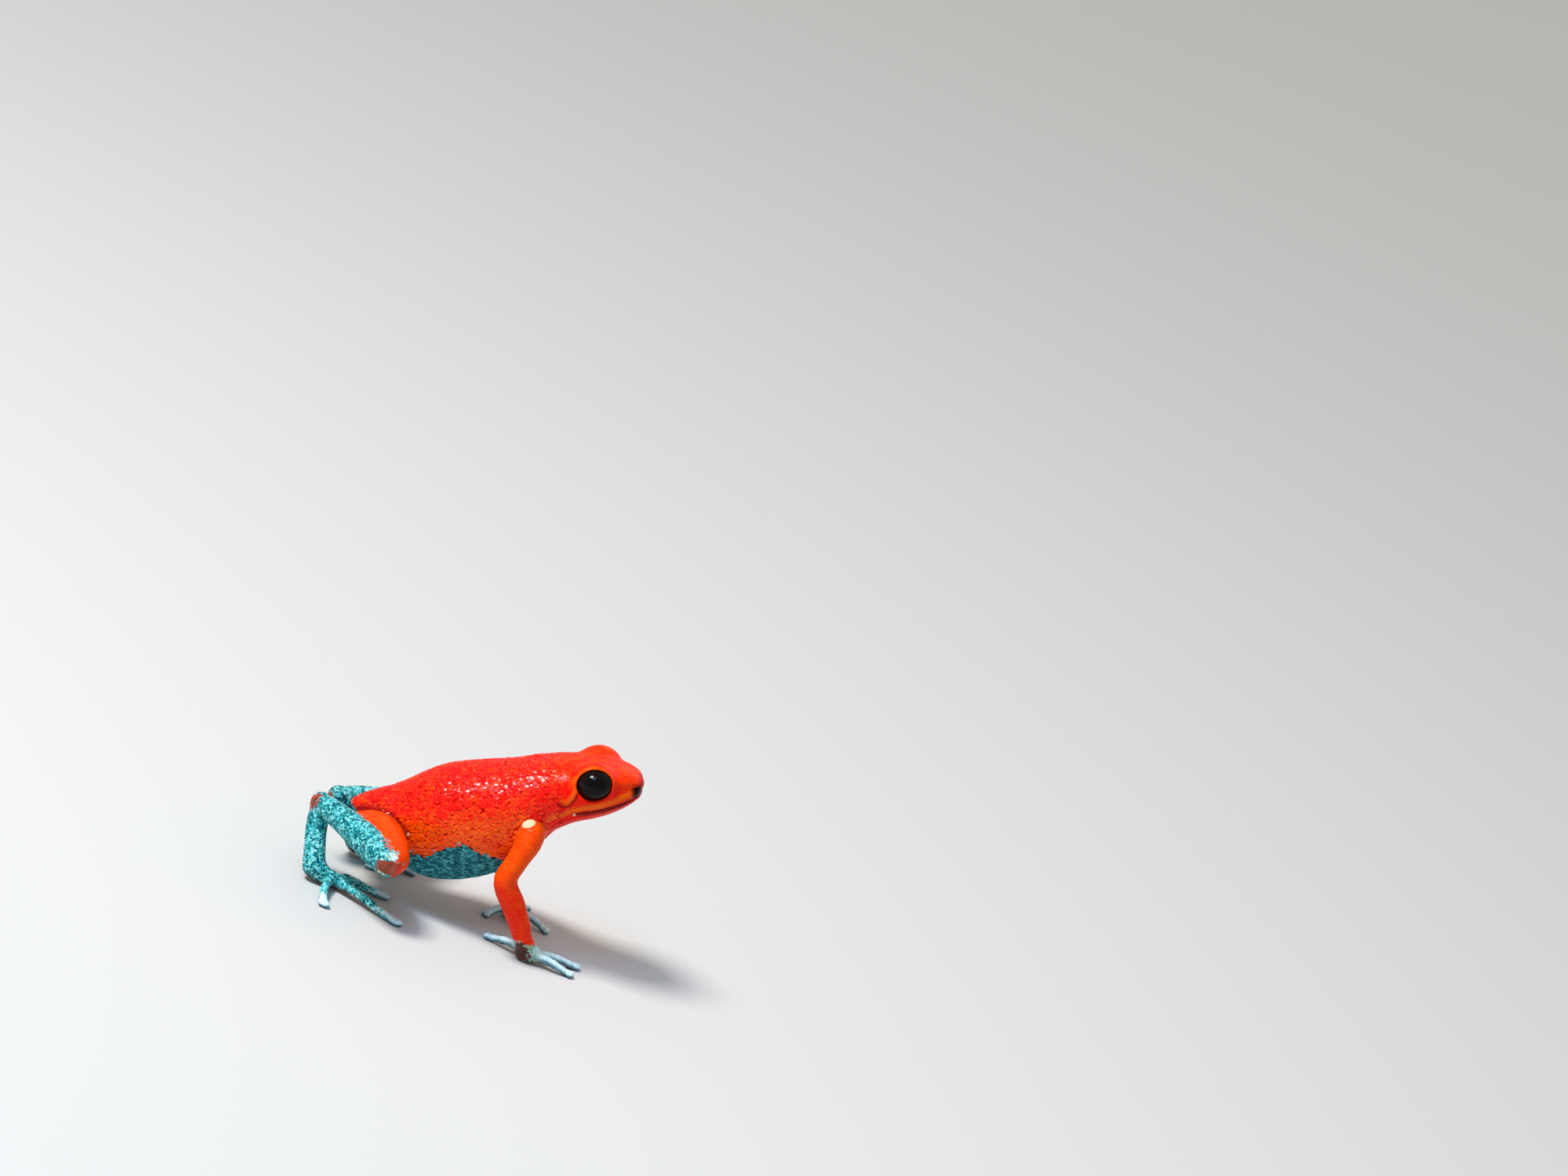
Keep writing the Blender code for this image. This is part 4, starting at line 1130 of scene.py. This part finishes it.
def skin_finish(name, granules):
    paint, shader, wire = new_finish(name, Coat_Roughness=0.15, Specular_IOR_Level=0.02)
    mark = wire.mark
    place = wire.node("ShaderNodeTexCoord", {}, {}, out="Object")
    bent = wire.node("ShaderNodeVectorMath", {"operation": "MULTIPLY_ADD"}, {
        0: wire.noise(place, 5.0, out="Color"), 1: (CHIP_BEND,) * 3, 2: place})

    def cells(per_mm):
        """Three chance values for each chip of an angular mosaic."""
        values = {"Vector": bent, "Scale": per_mm * PER_METRE}
        chips = wire.node("ShaderNodeTexVoronoi", {}, values, out="Color")
        parts = wire.node("ShaderNodeSeparateColor", {}, {"Color": chips}, out="Red").socket.node.outputs
        return [Wire(wire.tree, part) for part in parts]

    broad, medium, fine, flakes = (wire.noise(place, per_mm, detail) - 0.5
                                   for per_mm, detail in ((0.45, 2.0), (1.8, 2.0), (7.0, 2.0), (9.0, 3.0)))
    back, belly_part, head, arm, leg = (mark("grain_" + part)
                                        for part in ("back", "belly", "head", "arm", "leg"))
    if granules:
        hollow, tone = 1.0 - mark("dome"), mark("tone") - 0.5
    else:
        hollow, tone = 1.0, fine * 1.2
    # Painted shade: how strongly the crevices and the foot of each granule darken on each part of the skin.
    depth = back * 0.90 + belly_part + head * 0.15 + arm * 0.15 + leg * 0.15
    relief = (1.0 - depth * hollow).clamped()
    warm = mark("orange") + (broad + medium) * 0.45 + tone * (back * 0.26 + 0.1) + flakes * 0.5
    if granules:
        warm = warm + (arm + head) * 0.05
    red = warm.clamped().mix(RED, ORANGE)
    red = relief.mix(CREVICE_SHADE_RED, red)
    chips, grit = cells(6.5), cells(13.0)
    pale = mark("pale")
    # The light chips of the legs are partly pale pigment and partly painted glints of the granules.
    bright = (chips[0] * 0.7 + grit[0] * 0.5 + medium * 0.5 + pale * 0.40 - 0.82).cut(0.10)
    glint = (chips[1] * 0.6 + grit[1] * 0.6 - 0.45).cut(0.4).mix(LIGHT_TEAL, WHITE)
    deep = (0.34 - chips[0] * 0.55 - grit[2] * 0.35 - medium * 0.4 - pale * 0.3).cut(0.14)
    leg_colour = (grit[1] - 0.72).cut(0.1).mix(TEAL, GREEN)
    leg_colour = deep.mix(leg_colour, DEEP_TEAL_AND_SHADE)
    leg_colour = bright.mix(leg_colour, glint)
    leg_colour = relief.mix(DEEP_TEAL_AND_SHADE, leg_colour)
    belly_colour = (tone * 0.9 + medium * 0.8 + flakes * 0.5 + 0.19).clamped().mix(BELLY_TEAL, BELLY_LIGHT)
    belly_colour = relief.mix(CREVICE_SHADE_TEAL, belly_colour)
    turquoise = (belly_part - 0.3).cut(0.3).mix(leg_colour, belly_colour)
    ragged = medium * 0.45 + tone * 0.25 + flakes * 0.25
    blue = (mark("teal") + ragged).cut(0.07)
    colour = blue.mix(red, turquoise)
    # Painted light and shade: fingers and toes are pale on faces that turn up and slate on their sides.
    digit = (mark("top") * 1.2 + medium * 1.4 + flakes * 1.0 - 0.12).clamped().mix(SHADE_SLATE, PALE)
    palm = ((mark("tip") - 2.3).cut(0.8) * (2.6 - pale * 2.26)).clamped()
    digit = palm.mix(digit, SAGE)
    along_digit = mark("tip") + medium * 0.3 + flakes * 0.15
    for place_mm in JOINT_LINES:
        line = (JOINT_LINE_WIDTH - wire.math("ABSOLUTE", along_digit - place_mm)).cut(0.05)
        digit = (line * 0.40).mix(digit, INK)
    spread = (pale + (chips[1] - 0.5) * 0.5 + flakes * 0.6 - 0.62).cut(0.10) * blue
    colour = spread.mix(colour, digit)
    rise = wire.node("ShaderNodeSeparateXYZ", {}, {"Vector": place}, out="Z") * PER_METRE
    brown_colour = (medium * 1.6 + flakes * 0.8 + fine * 0.8 + 0.30).clamped().mix(BROWN, TAN)
    sole = (medium * 1.2 + flakes + 0.3).clamped().mix(DARK_BROWN, BROWN)
    # Below about 1.9 mm over the floor the brown is darker.
    brown_colour = (rise - 1.9).cut(0.6).mix(sole, brown_colour)
    bald = (mark("brown") + medium * 0.45 + flakes * 0.35 + (chips[2] - 0.5) * 0.40).cut(0.08)
    colour = bald.mix(colour, brown_colour)
    colour = (mark("cream") + fine * 0.06).cut(0.05).mix(colour, CREAM)
    # Painted shade in creases, nostrils and lid seats and under mouth and snout, on red skin only.
    only_red = 1.0 - mark("teal").cut(0.2)
    colour = (mark("painted_shade") * only_red).clamped().mix(colour, PAINTED_SHADE_BLACK)
    colour.into(shader, "Base Color")
    (0.42 + medium * 0.22 + fine * 0.12).clamped().into(shader, "Roughness")
    (relief * (back * 0.20 + 0.22) + bald * 0.30).into(shader, "Coat Weight")
    pores = wire.noise(place, 16.0, 3.0) * 0.6 + fine * 0.8
    wire.bump(0.22, PORE_DEPTH, pores).into(shader, "Normal")
    return paint


SKIN = skin_finish("moist_skin", granules=False)
GRANULE = skin_finish("moist_granules", granules=True)
print("finishes:", SKIN.name, len(SKIN.node_tree.nodes), "nodes")

# %% [markdown]
# ## The skin as a piece
# The skin's points and marks become one closed mesh. It replaces every solid but the two eyes, and the
# seams between those solids disappear under it.

# %% Skin piece
def new_mesh(name, points, faces, marks, finish=None):
    """A smooth mesh whose points carry marks."""
    mesh = bpy.data.meshes.new(name)
    mesh.from_pydata(points, [], faces)
    mesh.shade_smooth()
    for label, values in marks.items():
        layer = mesh.attributes.new(label, "FLOAT", "POINT")
        layer.data.foreach_set("value", np.asarray(values, np.float32))
    if finish:
        mesh.materials.append(finish)
    return mesh


def skin_mesh(name, scale):
    return new_mesh(name, ((skin_points + SHIFT) * scale).tolist(), skin_faces.tolist(), MARKS, SKIN)


def dress(piece, slot, *nodes):
    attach(piece, "root")
    if nodes:
        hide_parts(*nodes)
    print(piece.name, sum(len(face.vertices) - 2 for face in piece.data.polygons), "triangles")


skin = add_object("skin", skin_mesh("skin", MM))
dress(skin, "skin_red", *[node for node in frame["nodes"] if not node.startswith("eye")])
check = bmesh.new()
check.from_mesh(skin.data)
print("open or doubled edges:", sum(not edge.is_manifold for edge in check.edges),
      "volume:", round(check.calc_volume(signed=True) / MM**3), "mm3")
check.free()

# %% [markdown]
# ## Granules
# The pebbles of the skin could be painted as bumps, but then the outline would stay smooth. Instead
# Geometry Nodes scatter low domes over the skin: points are spread at an even spacing where a mark
# allows it, a dome is stood on each, turned along the body and sized by chance, and all are joined
# into a plain mesh. Neighbours touch and overlap, so they read as cobbles with creases between. There
# are three kinds of dome, each in three shapes, none of them quite round and all of few faces.

# %% Dome shapes
DOME_SIDES = 8
DOME_SHAPES = 3
WOBBLE, TURN_WOBBLE = 0.13, 0.15
# radius, height and relief mark of each ring from the top down; a lower mark paints more crevice shade
DOME_RINGS = {"fine": ((0.56, 0.70, 0.75), (1.00, -0.55, 0.0)),
              "coarse": ((0.46, 0.93, 0.95), (0.80, 0.50, 0.60), (1.04, -0.90, 0.0)),
              "cobble": ((0.62, 0.985, 1.0), (0.78, 0.93, 0.90), (0.92, 0.42, 0.50), (1.04, -0.90, 0.0))}


def lathe_faces(rings, sides):
    """Faces from point 0 at the top down over rings of points, side by side."""
    faces = []
    for k in range(sides):
        after = (k + 1) % sides
        faces.append((0, 1 + k, 1 + after))
        for first in range(1, 1 + (rings - 1) * sides, sides):
            faces.append((first + k, first + sides + k, first + sides + after, first + after))
    return faces


def dome_mesh(name, rings, seed):
    """A closed low dome of unit radius and height with an uneven outline and a sharp rim."""
    chance = np.random.default_rng(seed)
    outline = 1 + chance.uniform(-WOBBLE, WOBBLE, DOME_SIDES)
    steps = np.arange(DOME_SIDES) + chance.uniform(-TURN_WOBBLE, TURN_WOBBLE, DOME_SIDES)
    angle = 2 * math.pi * steps / DOME_SIDES
    points, relief = [(0.0, 0.0, 1.0)], [1.0]
    for radius, height, share in rings:
        x, y = radius * outline * np.cos(angle), radius * outline * np.sin(angle)
        points += np.column_stack([x, y, np.full(DOME_SIDES, height)]).tolist()
        relief += [share] * DOME_SIDES
    last = len(points) - DOME_SIDES
    faces = lathe_faces(len(rings), DOME_SIDES) + [tuple(reversed(range(last, len(points))))]
    mesh = new_mesh(name, points, faces, {"dome": relief})
    for edge in mesh.edges:
        edge.use_edge_sharp = min(edge.vertices) >= last
    return mesh


def dome_set(kind):
    """A collection of domes for the scatter to pick from."""
    shapes = bpy.data.collections.new("domes_" + kind)
    for number in range(DOME_SHAPES):
        label = f"dome_{kind}_{number}"
        shapes.objects.link(bpy.data.objects.new(label, dome_mesh(label, DOME_RINGS[kind], 40 + number)))
    return shapes


DOMES = {kind: dome_set(kind) for kind in DOME_RINGS}

# %% [markdown]
# The scatter is told which mark to follow, which domes to use, their spacing, radius and height in
# millimetres, their stretch along the body, how far they may lean in radians, and a seed.

# %% Scatter tree
GIVEN = {"Skin": "Geometry", "Mark": "String", "Domes": "Collection", "Spacing": "Float", "Radius": "Float",
         "Height": "Float", "Stretch": "Float", "Lean": "Float", "Seed": "Int", "Finish": "Material"}
CROWDING = 4.5


def scatter_tree():
    """Geometry Nodes that pave the marked part of a skin with domes."""
    tree = bpy.data.node_groups.new("granule_scatter", "GeometryNodeTree")
    for label, kind in GIVEN.items():
        tree.interface.new_socket(label, in_out="INPUT", socket_type="NodeSocket" + kind)
    tree.interface.new_socket("Granules", in_out="OUTPUT", socket_type="NodeSocketGeometry")
    wire = Wire(tree)
    given = tree.nodes.new("NodeGroupInput")

    def asked(label):
        return Wire(tree, given.outputs[label])

    def chance(low, high, seed):
        values = {2: low, 3: high, "Seed": asked("Seed") + seed}
        return wire.node("FunctionNodeRandomValue", {"data_type": "FLOAT"}, values, out=1)

    cover = wire.node("GeometryNodeInputNamedAttribute", {"data_type": "FLOAT"}, {"Name": asked("Mark")})
    most = wire.math("DIVIDE", CROWDING, asked("Spacing") * asked("Spacing"))
    scatter = wire.node("GeometryNodeDistributePointsOnFaces", {"distribute_method": "POISSON"}, {
        "Mesh": asked("Skin"), "Distance Min": asked("Spacing"), "Density Max": most,
        "Density Factor": cover, "Seed": asked("Seed")})
    upright = Wire(tree, scatter.socket.node.outputs["Rotation"])
    turned = wire.node("FunctionNodeAlignRotationToVector", {"axis": "X", "pivot_axis": "Z"}, {
        "Rotation": upright, "Factor": chance(0.55, 1.0, 1), "Vector": BODY_FORWARD.tolist()})
    lean = wire.node("ShaderNodeCombineXYZ", {}, {
        "X": asked("Lean") * chance(-1.0, 1.0, 5), "Y": asked("Lean") * chance(-1.0, 1.0, 6), "Z": 0.0})
    leant = wire.node("FunctionNodeRotateRotation", {"rotation_space": "LOCAL"}, {
        "Rotation": turned, "Rotate By": wire.node("FunctionNodeEulerToRotation", {}, {"Euler": lean})})
    grown = chance(0.85, 1.15, 2) * (cover * 0.35 + 0.65)
    size = wire.node("ShaderNodeCombineXYZ", {}, {
        "X": grown * asked("Radius") * asked("Stretch"), "Y": grown * asked("Radius"),
        "Z": grown * asked("Height")})
    toned = wire.node("GeometryNodeStoreNamedAttribute", {"data_type": "FLOAT", "domain": "POINT"}, {
        "Geometry": scatter, "Name": "tone", "Value": chance(0.0, 1.0, 3)})
    shapes = wire.node("GeometryNodeCollectionInfo", {}, {
        "Collection": asked("Domes"), "Separate Children": True, "Reset Children": True})
    pick = wire.node("FunctionNodeRandomValue", {"data_type": "INT"}, {
        4: 0, 5: DOME_SHAPES - 1, "Seed": asked("Seed") + 4}, out=2)
    stood = wire.node("GeometryNodeInstanceOnPoints", {}, {
        "Points": toned, "Instance": shapes, "Pick Instance": True, "Instance Index": pick,
        "Rotation": leant, "Scale": size})
    joined = wire.node("GeometryNodeRealizeInstances", {}, {"Geometry": stood})
    finished = wire.node("GeometryNodeSetMaterial", {}, {"Geometry": joined, "Material": asked("Finish")})
    tree.links.new(finished.socket, tree.nodes.new("NodeGroupOutput").inputs["Granules"])
    return tree


SCATTER = scatter_tree()
base = add_object("granule_base", skin_mesh("granule_base", 1.0))


def pave(name, slot, **given):
    """Pave a part of the skin with granules and keep the result as a plain mesh in metres."""
    modifier = base.modifiers.new(name, "NODES")
    modifier.node_group = SCATTER
    for item in SCATTER.interface.items_tree:
        if item.in_out == "INPUT" and item.name in given:
            modifier[item.identifier] = given[item.name]
    graph = bpy.context.evaluated_depsgraph_get()
    paved = base.evaluated_get(graph)
    mesh = bpy.data.meshes.new_from_object(paved, preserve_all_data_layers=True, depsgraph=graph)
    base.modifiers.remove(modifier)
    mesh.name = name
    mesh.transform(Matrix.Scale(MM, 4))
    dress(add_object(name, mesh), slot)


# %% [markdown]
# Five pieces cover the animal. Sizes are read from the photo: about five granules to a millimetre on
# the trunk and six on the head and limbs. The tall domes of the trunk lean the most, so that their
# glints scatter.

# %% Pave the frog
# piece, mark, slot, domes, spacing, radius, height, stretch, lean, seed
PAVING = (
    ("granules_back", "grain_back", "skin_red", "cobble", 0.190, 0.160, 0.040, 1.28, 0.17, 11),
    ("granules_belly", "grain_belly", "skin_turquoise", "coarse", 0.180, 0.145, 0.046, 1.50, 0.12, 17),
    ("granules_head", "grain_head", "skin_red", "fine", 0.165, 0.125, 0.009, 1.30, 0.03, 23),
    ("granules_arms", "grain_arm", "skin_red", "fine", 0.150, 0.098, 0.009, 1.35, 0.03, 37),
    ("granules_legs", "grain_leg", "skin_turquoise", "fine", 0.155, 0.130, 0.011, 1.15, 0.02, 53),
)
for name, mark, slot, domes, spacing, radius, rise, stretch, lean, seed in PAVING:
    pave(name, slot, Mark=mark, Domes=DOMES[domes], Spacing=spacing, Radius=radius, Height=rise,
         Stretch=stretch, Lean=lean, Seed=seed, Finish=GRANULE)
bpy.data.objects.remove(base)
for shapes in DOMES.values():
    for dome in list(shapes.objects):
        bpy.data.objects.remove(dome)
    bpy.data.collections.remove(shapes)
print(f"paved ({time.time() - START:.1f} s)")

# %% [markdown]
# ## Eyes
# The eye is a ball with a slightly steeper cornea in front. It is turned like a lathe piece round the
# axis that looks out between the lids. Two marks hold each point's place across and up the opening,
# and the finish draws the wide dark pupil and the almost black iris from them.

# %% Eye finish
IRIS_DARK, IRIS_LIGHT = (0.0012, 0.0006, 0.0006, 1), (0.016, 0.005, 0.003, 1)
IRIS_RIM, PUPIL = (0.004, 0.002, 0.002, 1), (0.001, 0.001, 0.001, 1)
PUPIL_ACROSS, PUPIL_UP = 2.1, 3.4
STREAK_DEPTH = 0.00002


def eye_finish():
    constants = {"Coat_Weight": 0.23, "Coat_Roughness": 0.02, "Specular_IOR_Level": 0.02}
    paint, shader, wire = new_finish("wet_eye", **constants)
    across, rise = wire.mark("across"), wire.mark("rise")
    place = wire.node("ShaderNodeTexCoord", {}, {}, out="Object")
    streaks = wire.noise(place, 9.0, 3.0) - 0.5
    ring = wire.math("SQRT", across * across * PUPIL_ACROSS + rise * rise * PUPIL_UP)
    iris = (streaks * 1.6 + 0.45).clamped().mix(IRIS_DARK, IRIS_LIGHT)
    iris = (1.25 - ring + streaks * 0.1).cut(0.3).mix(IRIS_RIM, iris)
    (1.0 - ring).cut(0.08).mix(iris, PUPIL).into(shader, "Base Color")
    (0.06 + streaks * 0.04).clamped().into(shader, "Roughness")
    wire.bump(0.03, STREAK_DEPTH, streaks).into(shader, "Normal")
    return paint


EYE = eye_finish()

# %% Eyeballs
EYE_RINGS, EYE_TURNS = 40, 64
CORNEA_RISE, CORNEA_SPREAD = 0.035, 0.62


def eyeball(name, hand):
    """An eyeball; hand is -1 on the right side and 1 on the left."""
    points, marks = [], {"across": [], "rise": []}
    for ring in range(EYE_RINGS + 1):
        tilt = math.pi * ring / EYE_RINGS
        turns = 1 if ring in (0, EYE_RINGS) else EYE_TURNS
        for spin in 2 * math.pi * np.arange(turns) / turns:
            sideways = OPEN_ALONG * math.cos(spin) + OPEN_UP * math.sin(spin)
            way = OPEN_OUT * math.cos(tilt) + math.sin(tilt) * sideways
            reach = 1 / np.linalg.norm(way / BALL_HALF_SIZE)
            reach *= 1 + CORNEA_RISE * float(bell(tilt, 0.0, CORNEA_SPREAD))
            spot = way * reach + EYE_PLACE
            points.append(on_body(spot[0], hand * spot[1], spot[2]))
            marks["across"].append(float(way @ OPEN_ALONG) * 1.2 + 2.0 * (tilt > 1.7))
            marks["rise"].append(float(way @ OPEN_UP))
    faces = lathe_faces(EYE_RINGS - 1, EYE_TURNS)
    last = len(points) - 1
    first = last - EYE_TURNS
    faces += [(last, first + (turn + 1) % EYE_TURNS, first + turn) for turn in range(EYE_TURNS)]
    mesh = new_mesh(name, to_world(points).tolist(), faces, marks, EYE)
    ball = bmesh.new()
    ball.from_mesh(mesh)
    bmesh.ops.recalc_face_normals(ball, faces=ball.faces)
    ball.to_mesh(mesh)
    ball.free()
    return mesh


for hand, label in ((-1, "right"), (1, "left")):
    name = f"eyeball_{label}"
    dress(add_object(name, eyeball(name, hand)), "eye_black", f"eye_{label}")

# %% Sizes
VISUAL_BOX = [list(corner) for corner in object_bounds()]
print("boxes:", CAD_BOX, VISUAL_BOX, f"({time.time() - START:.1f} s)")
